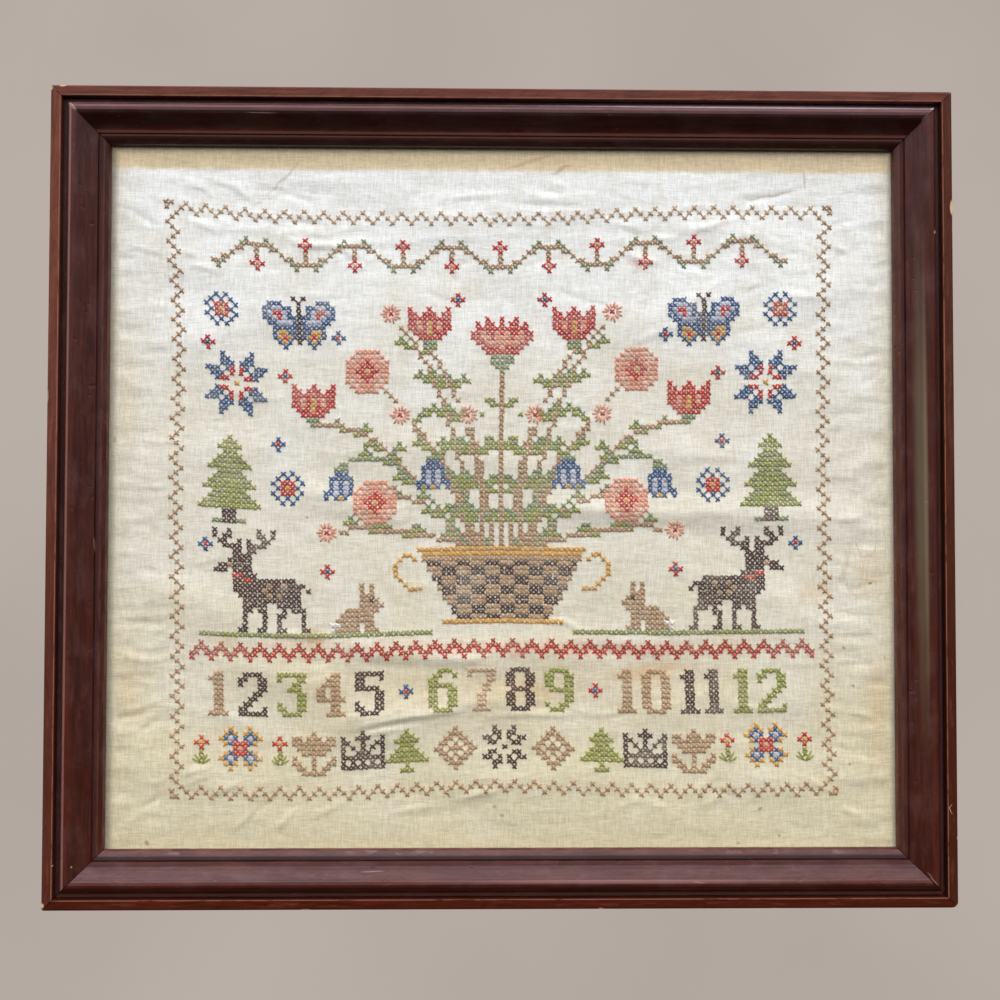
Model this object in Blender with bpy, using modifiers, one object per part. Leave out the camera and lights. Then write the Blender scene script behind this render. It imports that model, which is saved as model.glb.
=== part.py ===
"""A framed cross stitch sampler: linen stretched on a board, in a mitred moulding with an applied edging.

Metres, +Z up. The sampler hangs on a wall: its back lies in the plane Y = 0, its face looks along -Y, and +X
is on the right of someone who looks at it. The origin is on the back of the top rail, midway between the sides.
"""

import math
from math import radians

import bmesh
import bpy
from mathutils import Matrix, Vector

MM = 0.001
GAP = 0.3 * MM  # between neighbouring pieces

# The frame as a whole
FRAME_WIDTH = 560 * MM
FRAME_HEIGHT = 506 * MM
EDGING_WIDTH = 6.8 * MM
EDGING_DEPTH = 20 * MM
MOULDING_OUTER = EDGING_WIDTH + GAP  # from the frame's outer edge to the moulding's outer side
SIGHT_EDGE = 34.3 * MM  # from the frame's outer edge to the opening
RABBET_WIDTH = 6 * MM
RABBET_DEPTH = 7.4 * MM  # from the back to the ledge that the cloth lies under
HANGING_POINT = 20 * MM  # below the frame's top edge

# The moulding's face from the groove inwards, in mm: distance from the frame's outer edge, height off the back
GROOVE = [(7.1, 16.0), (9.9, 16.0)]
SHOULDER = [(10.1, 17.6), (10.8, 19.2), (12.0, 20.5), (13.7, 21.3), (15.6, 21.5), (17.3, 21.1), (18.7, 20.2)]
COVE = [(20.9, 18.3), (23.1, 16.6), (25.3, 15.3), (27.3, 14.6)]
STEP = [(27.8, 14.4), (28.1, 13.2), (28.6, 13.3)]
LIP = [(28.9, 14.0), (30.4, 13.3), (32.3, 11.9), (33.6, 10.6), (34.3, 9.4)]
EASED_OUTER = 1.0 * MM  # the edging's front edges
EASED_INNER = 0.6 * MM
MITRE_WASTE = 4 * MM  # spare length that the mitres cut away

# Outer corners of the edging, worn round: corner, side across X, side across Z, radius
WORN_CORNERS = [
    ("top_left", -1, 1, 2.2 * MM),
    ("top_right", 1, 1, 0.9 * MM),
    ("bottom_right", 1, -1, 4.8 * MM),
    ("bottom_left", -1, -1, 1.8 * MM),
]

# The linen and the board
CLOTH_THICKNESS = 1.2 * MM
BOARD_THICKNESS = 3 * MM
IN_RABBET = SIGHT_EDGE - RABBET_WIDTH + GAP  # from the frame's outer edge to the cloth's and the board's
STRETCHED_WIDTH = FRAME_WIDTH - 2 * IN_RABBET
STRETCHED_HEIGHT = FRAME_HEIGHT - 2 * IN_RABBET
CLOTH_BASE = RABBET_DEPTH - GAP - CLOTH_THICKNESS  # the cloth's underside at its flat border
BOARD_FACE = CLOTH_BASE - GAP
CLOTH_COLUMNS = 50
CLOTH_ROWS = 44
FLAT_BORDER = RABBET_WIDTH + 0.6 * MM  # held flat under the lip
BORDER_FADE = 22 * MM  # over which the folds set in
PUCKER_FADE = 7 * MM

# Folds of the linen, in mm from the middle of the opening: one end, the other end, height, half width
FOLDS = [
    # x1, z1, x2, z2, height, half_width
    (35, -8, 222, -14, 1.5, 9),
    (-118, 0, -70, -13, 1.2, 9),
    (-95, -96, -10, -104, 1.4, 10),
    (-10, -100, 90, -94, 1.1, 11),
    (-96, -142, 2, -128, 1.5, 11),
    (-170, -108, -105, -120, 0.9, 10),
    (-60, -180, 60, -176, 1.0, 12),
    (95, -135, 190, -128, 0.9, 12),
    (85, 108, 128, 122, 0.9, 11),
    (180, 122, 226, 136, 0.9, 10),
    (-200, 96, -150, 112, 0.8, 11),
    (-40, 176, 60, 186, 0.9, 13),
    (110, 26, 230, 20, 0.9, 10),
    (-225, 22, -150, 30, 0.9, 11),
    (-60, 30, 20, 18, 0.9, 10),
    (-212, -60, -168, -74, 0.9, 10),
    (165, -60, 215, -84, 1.0, 10),
    (-226, 150, -190, 140, 0.8, 10),
    (-226, -170, -150, -176, 0.8, 12),
    (120, -182, 222, -172, 0.8, 12),
]
# Slow waves over the whole sheet: height, wave length across X, wave length across Z, phase
WAVES = [(0.30 * MM, 0.31, 0.19, 0.4), (0.22 * MM, 0.17, 0.083, 2.1), (0.14 * MM, 0.09, 0.055, 4.0)]
# Puckers where the linen was pulled over the board at the sides: spacing, height, reach inwards
PUCKER_SPACING = 22 * MM
PUCKER_HEIGHT = 0.5 * MM
PUCKER_REACH = 40 * MM
PUCKER_DRIFT = 31 * MM  # how fast the puckers' height changes down a side
PUCKER_PHASES = {"left": (0.2, 0.0), "right": (1.7, 0.9)}

VARNISH = ((0.075, 0.022, 0.016), 0.32)
EDGING_VARNISH = ((0.110, 0.034, 0.021), 0.40)
LINEN = ((0.74, 0.70, 0.58), 0.92)
BOARD = ((0.33, 0.22, 0.13), 0.85)

CENTRE = Vector((0, 0, HANGING_POINT - FRAME_HEIGHT / 2))  # of the frame, in the plane of its back


def clear_scene():
    for obj in list(bpy.data.objects):
        bpy.data.objects.remove(obj, do_unlink=True)


def collection(name):
    made = bpy.data.collections.new(name)
    bpy.context.scene.collection.children.link(made)
    return made


def material(name, finish):
    colour, roughness = finish
    made = bpy.data.materials.new(name)
    made.use_nodes = True
    shader = made.node_tree.nodes["Principled BSDF"]
    shader.inputs["Base Color"].default_value = (*colour, 1)
    shader.inputs["Roughness"].default_value = roughness
    return made


def object_from_mesh(name, mesh, home, look=None):
    obj = bpy.data.objects.new(name, mesh)
    home.objects.link(obj)
    if look:
        mesh.materials.append(look)
    return obj


def prism(name, outline, length, home, look=None):
    """A closed outline in XY extruded along Z by length, centred on Z = 0, as a mesh."""
    curve = bpy.data.curves.new(name + "_outline", "CURVE")
    curve.dimensions = "2D"
    curve.fill_mode = "BOTH"
    curve.extrude = length / 2
    line = curve.splines.new("POLY")
    line.points.add(len(outline) - 1)
    for point, (x, y) in zip(line.points, outline):
        point.co = (x, y, 0, 1)
    line.use_cyclic_u = True
    drawn = bpy.data.objects.new(name + "_outline", curve)
    home.objects.link(drawn)
    bpy.context.view_layer.update()
    mesh = bpy.data.meshes.new_from_object(drawn.evaluated_get(bpy.context.evaluated_depsgraph_get()))
    bpy.data.objects.remove(drawn, do_unlink=True)
    solid = bmesh.new()
    solid.from_mesh(mesh)
    bmesh.ops.remove_doubles(solid, verts=solid.verts, dist=0.01 * MM)
    bmesh.ops.recalc_face_normals(solid, faces=solid.faces)
    solid.to_mesh(mesh)
    solid.free()
    return object_from_mesh(name, mesh, home, look)


def moulding_outline():
    """The moulding's section: X is the distance from the frame's outer edge, Y the height above the back."""
    face = [(x * MM, y * MM) for x, y in GROOVE + SHOULDER + COVE + STEP + LIP]
    rabbet = [
        (SIGHT_EDGE, RABBET_DEPTH),
        (SIGHT_EDGE - RABBET_WIDTH, RABBET_DEPTH),
        (SIGHT_EDGE - RABBET_WIDTH, 0),
    ]
    return [(MOULDING_OUTER, 0), *reversed(rabbet), *reversed(face)]


def edging_outline():
    """The edging's section, with its two front edges eased."""
    inner, outer = EASED_INNER, EASED_OUTER
    crown = 0.3  # of the eased width, where the round crosses the diagonal
    return [
        (0, 0),
        (EDGING_WIDTH, 0),
        (EDGING_WIDTH, EDGING_DEPTH - inner),
        (EDGING_WIDTH - inner * crown, EDGING_DEPTH - inner * crown),
        (EDGING_WIDTH - inner, EDGING_DEPTH),
        (outer, EDGING_DEPTH),
        (outer * crown, EDGING_DEPTH - outer * crown),
        (0, EDGING_DEPTH - outer),
    ]


def mitre(solid, length):
    """Cuts both ends of a rail at 45 degrees from its outer edge, X = 0, half a gap short of the true mitre."""
    for side in (-1, 1):
        normal = Vector((1, 0, side)).normalized()
        on_plane = Vector((0, 0, side * length / 2)) - normal * GAP / 2
        bmesh.ops.bisect_plane(
            solid,
            geom=[*solid.verts, *solid.edges, *solid.faces],
            plane_co=on_plane,
            plane_no=normal,
            clear_outer=True,
        )
        rim = [edge for edge in solid.edges if edge.is_boundary]
        bmesh.ops.contextual_create(solid, geom=rim)
    bmesh.ops.recalc_face_normals(solid, faces=solid.faces)


def rail(name, outline, along, turn, home, look):
    """One mitred rail. Its section is drawn at the left side, and turn swings it round the frame's centre."""
    made = prism(name, outline, along + MITRE_WASTE, home, look)
    solid = bmesh.new()
    solid.from_mesh(made.data)
    mitre(solid, along)
    solid.to_mesh(made.data)
    solid.free()
    reach = FRAME_WIDTH if turn in (0, 180) else FRAME_HEIGHT
    # Section X runs inwards from the outer edge and section Y towards the viewer, along -Y of the room.
    lay = Matrix(((1, 0, 0), (0, -1, 0), (0, 0, -1))).to_4x4()
    swing = Matrix.Rotation(radians(turn), 4, "Y")
    made.data.transform(swing @ Matrix.Translation((-reach / 2, 0, 0)) @ lay)
    made.location = CENTRE
    return made


def corner_cutter(name, side_x, side_z, radius, home):
    """What a worn corner has lost: a square less a quarter circle, run through the frame's whole depth."""
    steps = 6
    beyond = 2 * MM  # past the corner, so that the cut is clean
    arc = [
        (radius * (math.cos(radians(90 * i / steps)) - 1), radius * (math.sin(radians(90 * i / steps)) - 1))
        for i in range(steps + 1)
    ]
    outline = [*arc, (-radius, beyond), (beyond, beyond), (beyond, -radius)]
    cutter = prism(name, outline, EDGING_DEPTH * 3, home)
    stand = Matrix(((side_x, 0, 0), (0, 0, -1), (0, side_z, 0))).to_4x4()
    cutter.data.transform(stand)
    if stand.determinant() < 0:
        cutter.data.flip_normals()
    cutter.location = CENTRE + Vector((side_x * FRAME_WIDTH / 2, 0, side_z * FRAME_HEIGHT / 2))
    cutter.hide_render = True
    cutter.display_type = "WIRE"
    return cutter


def cut(obj, cutter):
    hole = obj.modifiers.new("worn_" + cutter.name, "BOOLEAN")
    hole.operation = "DIFFERENCE"
    hole.solver = "EXACT"
    hole.object = cutter


def build_rails(home, varnish, edging_varnish):
    """Four moulded rails and the four laths of the edging, as [(side, rail, lath)]."""
    made = []
    for side, turn in (("left", 0), ("top", 90), ("right", 180), ("bottom", 270)):
        along = FRAME_HEIGHT if turn in (0, 180) else FRAME_WIDTH
        moulded = rail("rail_" + side, moulding_outline(), along, turn, home, varnish)
        lath = rail("edging_" + side, edging_outline(), along, turn, home, edging_varnish)
        made.append((side, moulded, lath))
    return made


def wear_corners(rails, cutters):
    for corner, side_x, side_z, radius in WORN_CORNERS:
        cutter = corner_cutter("corner_" + corner, side_x, side_z, radius, cutters)
        for side, _, lath in rails:
            if side in corner:
                cut(lath, cutter)


def smooth_step(t):
    t = min(max(t, 0.0), 1.0)
    return t * t * (3 - 2 * t)


def fold_height(x, z):
    """How far the folds lift the linen at a point, in metres from the middle of the opening."""
    lift = 0.0
    for x1, z1, x2, z2, height, half_width in FOLDS:
        start, end = Vector((x1, z1)) * MM, Vector((x2, z2)) * MM
        run = end - start
        t = (Vector((x, z)) - start).dot(run) / run.length_squared
        t = min(max(t, 0.0), 1.0)
        away = (Vector((x, z)) - start - run * t).length / (half_width * MM)
        lift += height * MM * math.exp(-away * away)
    return lift


def wave_height(x, z):
    lift = 0.0
    for height, across_x, across_z, phase in WAVES:
        lift += height * (1 + math.sin(2 * math.pi * (x / across_x + z / across_z) + phase))
    return lift


def pucker_height(x, z, half_width):
    """Short level ripples that run in from the two sides."""
    drift_phase, ripple_phase = PUCKER_PHASES["right" if x > 0 else "left"]
    fade = smooth_step(1 - (half_width - abs(x)) / PUCKER_REACH)
    uneven = 0.6 + 0.4 * math.sin(z / PUCKER_DRIFT + drift_phase)
    ripple = 1 + math.sin(2 * math.pi * z / PUCKER_SPACING + ripple_phase)
    return PUCKER_HEIGHT * fade * uneven * ripple


def grid_place(t, size, cells):
    """Where a grid line at t, from -0.5 to 0.5, lies: the last cell at each end is the flat border."""
    if abs(t) > 0.5 - 0.5 / cells:
        return math.copysign(size / 2, t)
    return t / (0.5 - 1 / cells) * (size / 2 - FLAT_BORDER)


def build_cloth(home, look):
    """The linen: a grid lifted by its folds, held flat at its border, then given its thickness."""
    width, height = STRETCHED_WIDTH, STRETCHED_HEIGHT
    grid = bmesh.new()
    bmesh.ops.create_grid(grid, x_segments=CLOTH_COLUMNS, y_segments=CLOTH_ROWS, size=0.5)
    for vert in grid.verts:
        x = grid_place(vert.co.x, width, CLOTH_COLUMNS)
        z = grid_place(vert.co.y, height, CLOTH_ROWS)
        inside = min(width / 2 - abs(x), height / 2 - abs(z)) - FLAT_BORDER
        folds = smooth_step(inside / BORDER_FADE) * (fold_height(x, z) + wave_height(x, z))
        puckers = smooth_step(inside / PUCKER_FADE) * pucker_height(x, z, width / 2)
        vert.co = (x, -CLOTH_BASE - folds - puckers, z)
    bmesh.ops.recalc_face_normals(grid, faces=grid.faces)
    mesh = bpy.data.meshes.new("sampler_cloth")
    grid.to_mesh(mesh)
    grid.free()
    if mesh.polygons[0].normal.y > 0:
        mesh.flip_normals()
    mesh.shade_smooth()
    cloth = object_from_mesh("sampler_cloth", mesh, home, look)
    cloth.location = CENTRE
    thick = cloth.modifiers.new("thickness", "SOLIDIFY")
    thick.thickness = CLOTH_THICKNESS
    thick.offset = 1
    return cloth


def build_board(home, look):
    """The board in the rabbet that the linen is stretched on."""
    board = bmesh.new()
    bmesh.ops.create_cube(board, size=1)
    bmesh.ops.scale(board, vec=(STRETCHED_WIDTH, BOARD_THICKNESS, STRETCHED_HEIGHT), verts=board.verts)
    mesh = bpy.data.meshes.new("backing_board")
    board.to_mesh(mesh)
    board.free()
    made = object_from_mesh("backing_board", mesh, home, look)
    made.location = CENTRE + Vector((0, -(BOARD_FACE - BOARD_THICKNESS / 2), 0))
    return made


def main():
    clear_scene()
    home = collection("framed_cross_stitch_sampler")
    cutters = collection("cutters")
    varnish = material("dark_varnish", VARNISH)
    edging_varnish = material("red_varnish", EDGING_VARNISH)
    rails = build_rails(home, varnish, edging_varnish)
    wear_corners(rails, cutters)
    build_cloth(home, material("linen", LINEN))
    build_board(home, material("board", BOARD))


main()
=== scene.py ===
"""The finish of a framed cross stitch sampler: camera, linen, stitches, varnish, glue, board and light.

Metres, +Z up. The sampler's back lies in the plane Y = 0 and its face looks along -Y. Tables of folds and
marks are in millimetres from the frame's centre, and stitches are placed by the cells of a chart. A colour of
three numbers is one as seen on a screen, 0 to 255, and one of four is linear.
"""

from functools import partial
from math import cos, pi, radians, sin

import bmesh
import bpy
import numpy as np
from mathutils import Euler, Matrix, Vector


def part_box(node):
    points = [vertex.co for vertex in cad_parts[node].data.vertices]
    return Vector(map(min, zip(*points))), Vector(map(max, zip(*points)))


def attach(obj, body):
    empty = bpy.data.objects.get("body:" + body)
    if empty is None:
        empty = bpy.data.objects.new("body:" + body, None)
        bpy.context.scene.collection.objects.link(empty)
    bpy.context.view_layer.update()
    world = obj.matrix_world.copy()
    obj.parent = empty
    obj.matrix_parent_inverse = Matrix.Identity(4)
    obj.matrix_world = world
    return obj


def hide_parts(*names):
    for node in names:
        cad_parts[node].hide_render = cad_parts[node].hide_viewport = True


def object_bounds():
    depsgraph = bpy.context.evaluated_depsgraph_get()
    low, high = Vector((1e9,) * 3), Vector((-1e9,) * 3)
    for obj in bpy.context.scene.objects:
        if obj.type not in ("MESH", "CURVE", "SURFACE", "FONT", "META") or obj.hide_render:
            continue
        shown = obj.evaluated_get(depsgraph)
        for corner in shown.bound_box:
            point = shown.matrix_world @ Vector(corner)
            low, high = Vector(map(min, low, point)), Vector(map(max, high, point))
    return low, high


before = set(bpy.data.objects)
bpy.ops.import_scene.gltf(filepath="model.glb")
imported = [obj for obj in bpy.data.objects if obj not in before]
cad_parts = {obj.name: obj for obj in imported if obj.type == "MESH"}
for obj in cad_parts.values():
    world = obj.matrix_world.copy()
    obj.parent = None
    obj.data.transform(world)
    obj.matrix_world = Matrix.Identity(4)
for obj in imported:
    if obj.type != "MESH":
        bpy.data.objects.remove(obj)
CAD_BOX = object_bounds()

MM = 0.001
BODY = "root"
SIDES = ("left", "top", "right", "bottom")
THROUGH = 1000  # mm; half the depth of a stain or mark that shows at any height

# What the frame's own pieces give
FRAME_LOW, FRAME_HIGH = CAD_BOX
FRAME_WIDTH = FRAME_HIGH.x - FRAME_LOW.x
FRAME_HEIGHT = FRAME_HIGH.z - FRAME_LOW.z
CENTRE = Vector(((FRAME_LOW.x + FRAME_HIGH.x) / 2, 0, (FRAME_LOW.z + FRAME_HIGH.z) / 2))
LINEN_LOW, LINEN_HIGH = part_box("sampler_cloth")
LINEN_WIDTH = LINEN_HIGH.x - LINEN_LOW.x
LINEN_HEIGHT = LINEN_HIGH.z - LINEN_LOW.z
LINEN_UNDERSIDE = -LINEN_HIGH.y
OPENING_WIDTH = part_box("rail_right")[0].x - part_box("rail_left")[1].x
OPENING_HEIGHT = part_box("rail_top")[0].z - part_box("rail_bottom")[1].z

# Camera: a hand-held telephone a little below and left of the middle
CAMERA_FROM_CENTRE = Vector((-14.4, -758.2, -23.2)) * MM
CAMERA_TURN = Euler((radians(1.56), radians(-0.96), radians(0.10)))
LENS, SENSOR = 43.2, 36

# The linen's form, as in the frame's solid
LINEN_THICKNESS = 1.2 * MM
FLAT_BORDER = 6.6 * MM
BORDER_FADE = 22 * MM
PUCKER_FADE = 7 * MM
LINEN_COLUMNS, LINEN_ROWS = 312, 276
BACK_STEP = 4  # the underside's grid is this much coarser
# Folds: x1, z1, x2, z2, height, half width
FOLDS = [
    (35, -8, 222, -14, 1.5, 9), (-118, 0, -70, -13, 1.2, 9), (-95, -96, -10, -104, 1.4, 10),
    (-10, -100, 90, -94, 1.1, 11), (-96, -142, 2, -128, 1.5, 11), (-170, -108, -105, -120, 0.9, 10),
    (-60, -180, 60, -176, 1, 12), (95, -135, 190, -128, 0.9, 12), (85, 108, 128, 122, 0.9, 11),
    (180, 122, 226, 136, 0.9, 10), (-200, 96, -150, 112, 0.8, 11), (-40, 176, 60, 186, 0.9, 13),
    (110, 26, 230, 20, 0.9, 10), (-225, 22, -150, 30, 0.9, 11), (-60, 30, 20, 18, 0.9, 10),
    (-212, -60, -168, -74, 0.9, 10), (165, -60, 215, -84, 1, 10), (-226, 150, -190, 140, 0.8, 10),
    (-226, -170, -150, -176, 0.8, 12), (120, -182, 222, -172, 0.8, 12),
]
# Slow waves: height, wave length across X, wave length across Z, phase
WAVES = [(0.30 * MM, 0.31, 0.19, 0.4), (0.22 * MM, 0.17, 0.083, 2.1), (0.14 * MM, 0.09, 0.055, 4.0)]
PUCKER_SPACING = 22 * MM
PUCKER_HEIGHT = 0.5 * MM
PUCKER_REACH = 40 * MM
PUCKER_DRIFT = 31 * MM
PUCKER_PHASES = {"left": (0.2, 0.0), "right": (1.7, 0.9)}

# Creases finer than the folds, laid out like them: ridges, and troughs with a height below nought
CREASES = [
    (45, -9, 140, -11, 0.5, 3.6), (45, 1, 130, 3, -0.35, 4), (50, -20, 130, -22, -0.3, 4),
    (-116, 1, -70, -12, 0.45, 3), (113, 19, 151, 20, -0.5, 4), (201, 22, 223, 24, -0.45, 4),
    (-83, -98, -20, -102, 0.5, 3), (-83, -106, -20, -109, -0.4, 3), (38, -95, 76, -97, -0.5, 3.5),
    (-96, -138, -2, -127, 0.5, 3), (-94, -154, -55, -151, 0.3, 2.4), (-64, -180, -8, -179, -0.45, 4),
    (85, 98, 111, 108, 0.5, 3), (-200, 170, -120, 163, 0.3, 2.6), (-90, 158, -10, 163, 0.35, 2.6),
    (20, 165, 110, 158, 0.3, 2.4), (60, 172, 180, 166, 0.3, 2.8), (-180, 66, -140, 60, 0.35, 2.6),
    (150, 84, 215, 76, 0.3, 2.6), (-30, -62, 40, -70, 0.3, 2.8), (-215, -130, -160, -140, 0.35, 3),
    (100, -160, 170, -152, 0.3, 2.6),
]
# Curved wrinkles that taper to nothing: middle x and z, length, turn in degrees, bow, height, half width
WRINKLES = [
    (-164.5, 190, 24, -39, 0.5, 1, 1.7), (-176, 196, 25, -18, 0, 0.8, 1.7),
    (-190, 190, 18, -30, 3, 0.8, 1.6), (-111, 161.5, 52, 0, -5, 1.1, 1.7),
    (-105, 148, 26, -75, 2, 1.2, 1.7), (-98.5, 153.5, 14, -40, 0, 0.9, 1.6),
    (-226, 172.5, 26, -30, 1, -0.68, 1.9), (-222, 149.5, 26, -17, 1, -0.68, 1.8),
    (-226, 154, 24, -14, 0, 0.52, 1.9), (-195.5, 150, 16, -24, 1, 0.8, 1.6),
    (-188.5, 168.5, 25, -25, 1, 0.8, 1.7), (-180, 173, 21, -24, 1, 0.7, 1.6),
    (-137.5, 188.5, 48, -15, 1, -0.8, 1.9), (-21, 187.5, 46, 5, 1, 0.9, 1.7),
    (24, 184, 56, -4, -1.5, -0.8, 1.9), (28, 191, 16, -15, 1, -0.9, 2.1), (35, 195, 15, -22, 1, 0.8, 1.7),
    (170, 190.5, 44, 11, -1, -0.8, 1.6), (100, 163.5, 24, -3, -1, 0.9, 1.7),
    (130, 169.5, 36, 18, 1, 0.9, 1.7), (88, 152, 28, -18, -3, 1, 1.7), (212.5, 157, 18, -29, 0, 0.83, 1.7),
    (214, 172, 18, 16, 1, -0.68, 1.7), (-223, -47, 24, -7, 0, -0.75, 2.1),
    (-223, -79.5, 28, -2, 0, -0.68, 1.9), (-225, -100, 30, -14, -2, 0.75, 1.9),
    (-225, -134, 30, 19, -2.5, -0.4, 1.9), (-224, -129, 30, 17, -2.5, 0.45, 1.8),
    (-220, -144, 22, 35, 0, -0.75, 1.8), (-218, -191, 18, 29, 0, -0.83, 1.7),
    (-160, -201, 24, 46, 0, 0.9, 1.7), (-134, -200.5, 21, 45, 0, 0.8, 1.7),
    (-190, -172, 20, 16, 1, 0.8, 1.7), (-187, -176, 18, 18, 1, 0.7, 1.7),
    (213.5, -55.5, 14, -35, 0, -0.68, 1.6), (224, -56.5, 13, 17, -1, -0.68, 1.6),
    (218, -74, 22, -10, 0, -0.6, 1.8), (219.5, -87, 28, 0, -1.5, -0.75, 1.8),
    (222, -105.5, 26, 2, 0, -0.6, 1.8), (223, -136, 26, -18, 0, 0.68, 1.7),
    (226, -166, 22, -12, 0, 0.6, 1.7), (-63, -139.5, 66, 10, 1, 1.1, 1.9),
    (-70, -144, 48, 12, 1, -0.9, 1.8), (-76, -147.5, 36, 12, 1, 0.9, 1.7),
    (17.5, -137.5, 60, 0, 1.5, 0.9, 1.8), (-16, -186.5, 30, 14, 1, 1, 1.7),
    (-54.5, -194.5, 36, 10, 0, 0.8, 1.8), (40, -82, 20, -22, 2.5, 1, 1.7),
    (-125, -86, 52, -5, -1.5, 0.9, 1.9), (-188, 142, 20, -12, 1, 0.7, 1.6),
    (-150, 175, 26, -16, 1, 0.6, 1.6), (-124, 172, 22, -8, -1, -0.6, 1.6),
    (-131, 156, 18, -38, 2, 0.7, 1.6), (-92, 168, 26, 8, 1, 0.6, 1.6), (82, 170, 24, -14, -1, 0.6, 1.6),
    (118, 178, 34, 6, 1, -0.6, 1.7), (142, 160, 24, 22, 1, 0.6, 1.6), (-212, 118, 22, -6, 0, 0.52, 1.7),
    (-216, 88, 26, 4, 1, -0.45, 1.8), (-214, 34, 24, -4, -1, 0.52, 1.7), (-219, 4, 24, 8, 1, 0.52, 1.7),
    (-222, -20, 22, -10, 0, -0.52, 1.8), (206, 108, 20, 12, 0, 0.45, 1.7), (214, 84, 24, -6, 1, 0.52, 1.7),
    (216, 52, 24, 4, 0, -0.45, 1.8), (212, 12, 24, -8, 1, 0.52, 1.7), (218, -14, 22, 10, 0, 0.45, 1.7),
    (-170, -182, 24, 26, 1, 0.7, 1.6), (-146, -192, 22, 34, 0, -0.6, 1.6),
    (-108, -196, 26, 22, 1, 0.6, 1.6), (90, -192, 28, -14, 1, 0.6, 1.6), (140, -186, 26, -20, 0, -0.6, 1.6),
    (196, -180, 22, -26, 1, 0.7, 1.6), (-38, -136, 34, 8, 1, 0.8, 1.7), (58, -134, 34, -8, -2, 0.7, 1.7),
    (100, -128, 30, 6, 1, -0.6, 1.7), (150, -132, 30, -5, 1, 0.6, 1.7),
]
# Smaller ones, scattered: x from and to, z from and to, how many, turn and its spread, longest, highest
WRINKLE_FIELDS = [
    (-236, 236, 176, 208, 46, 0, 9, 60, 0.42), (-210, 210, 120, 180, 60, -2, 20, 34, 0.52),
    (-205, 205, -60, 120, 80, 0, 14, 36, 0.36), (-205, 205, -190, -98, 70, 4, 14, 34, 0.5),
    (-246, -206, -60, 150, 40, -8, 10, 30, 0.44), (-246, -206, -212, -60, 34, 12, 12, 30, 0.44),
    (206, 246, -30, 160, 36, 8, 12, 30, 0.46), (206, 246, -212, -30, 36, -8, 10, 30, 0.46),
    (-200, 200, -214, -190, 36, 20, 30, 24, 0.42),
]
WRINKLE_SEED = 41
SHORTEST_WRINKLE = 10  # mm
RIDGE_SHARE = 0.6  # of the scattered wrinkles; the others are troughs
EDGE_PUCKER_SPACING = 11  # mm
EDGE_PUCKER_REACH = (-200, 205)  # mm up from the middle
EDGE_PUCKER_SEED = 12

# The chart: 136 by 120 cells between the border's outer rows
COLUMNS, ROWS = 136, 120
MIDDLE = COLUMNS // 2
FIELD_FLOOR = 87  # the row that the animals stand on
CURVE_STEPS = 200  # along a stem's curve, finer than the cells
# The border's four edges on the pulled linen: share of the way along, and mm from the frame's centre
TOP_EDGE = [(0, 184), (0.08, 181), (0.15, 178.2), (0.5, 176.9), (0.6, 178.2), (0.71, 181), (0.85, 182.6),
            (1, 182.5)]
BOTTOM_EDGE = [(0, -186.3), (0.1, -188), (0.25, -188), (0.43, -183.8), (0.5, -183), (0.6, -184.8),
               (0.75, -186.8), (1, -185.4)]
LEFT_EDGE = [(0, -211.3), (0.06, -209.9), (0.17, -206.8), (0.24, -205.4), (0.39, -206.6), (0.52, -207),
             (0.67, -205.4), (1, -204.6)]
RIGHT_EDGE = [(0, 206.4), (0.12, 205.1), (0.42, 204), (0.6, 204.8), (0.8, 205.8), (1, 208)]

# Threads: letter in the charts, name, colour
THREADS = {
    "t": ("tan", (188, 154, 118)), "k": ("dark_brown", (92, 68, 64)), "o": ("olive", (156, 162, 78)),
    "s": ("sage", (144, 158, 118)), "r": ("red", (206, 62, 52)), "m": ("brick", (170, 86, 62)),
    "c": ("coral", (236, 164, 136)), "p": ("pale_pink", (240, 204, 188)), "b": ("blue", (66, 104, 154)),
    "l": ("lilac", (198, 202, 226)), "g": ("gold", (224, 170, 78)), "w": ("white", (246, 244, 238)),
    "f": ("faded_tan", (210, 182, 150)),
}
PLY_RADIUS = 0.30 * MM
PLY_OFFSET = 0.27 * MM  # each arm is two plies, side by side
ARM_REACH = 0.53  # of a cell, from a cross's middle to a corner
UNEVEN = 0.23 * MM  # how far a stitch's ends stray
OVER = 0.30 * MM  # how much higher the upper arm of a cross passes
STITCH_SEED = 5
# A ply's rings: place along it, height above the linen, share of its radius
RINGS = [(0.10, 0.08 * MM, 0.80), (0.50, 0.22 * MM, 1.0), (0.90, 0.08 * MM, 0.80)]
TIP_DEPTH = 0.30 * MM
PLY_SIDES = 5


def linear(colour):
    """The linear colour that a shader takes for one as seen on a screen."""
    shares = (value / 255 for value in colour)
    return *(share / 12.92 if share <= 0.04045 else ((share + 0.055) / 1.055) ** 2.4 for share in shares), 1


def shade(colour, share):
    return (*(part * share for part in linear(colour)[:3]), 1)


def in_scene(obj):
    bpy.context.scene.collection.objects.link(obj)
    return obj


def object_from(sheet, name, finish):
    """A bmesh as an object of one material."""
    mesh = bpy.data.meshes.new(name)
    sheet.to_mesh(mesh)
    sheet.free()
    mesh.materials.append(finish)
    return in_scene(bpy.data.objects.new(name, mesh))


def hang_camera():
    camera = in_scene(bpy.data.objects.new("camera", bpy.data.cameras.new("camera")))
    camera.data.lens = LENS
    camera.data.sensor_width = SENSOR
    upright = Matrix.Rotation(radians(90), 3, "X") @ CAMERA_TURN.to_matrix()
    camera.matrix_world = Matrix.Translation(CENTRE + CAMERA_FROM_CENTRE) @ upright.to_4x4()
    bpy.context.scene.camera = camera


# Node helpers, each of which works in the tree of the sockets that it is given


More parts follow.
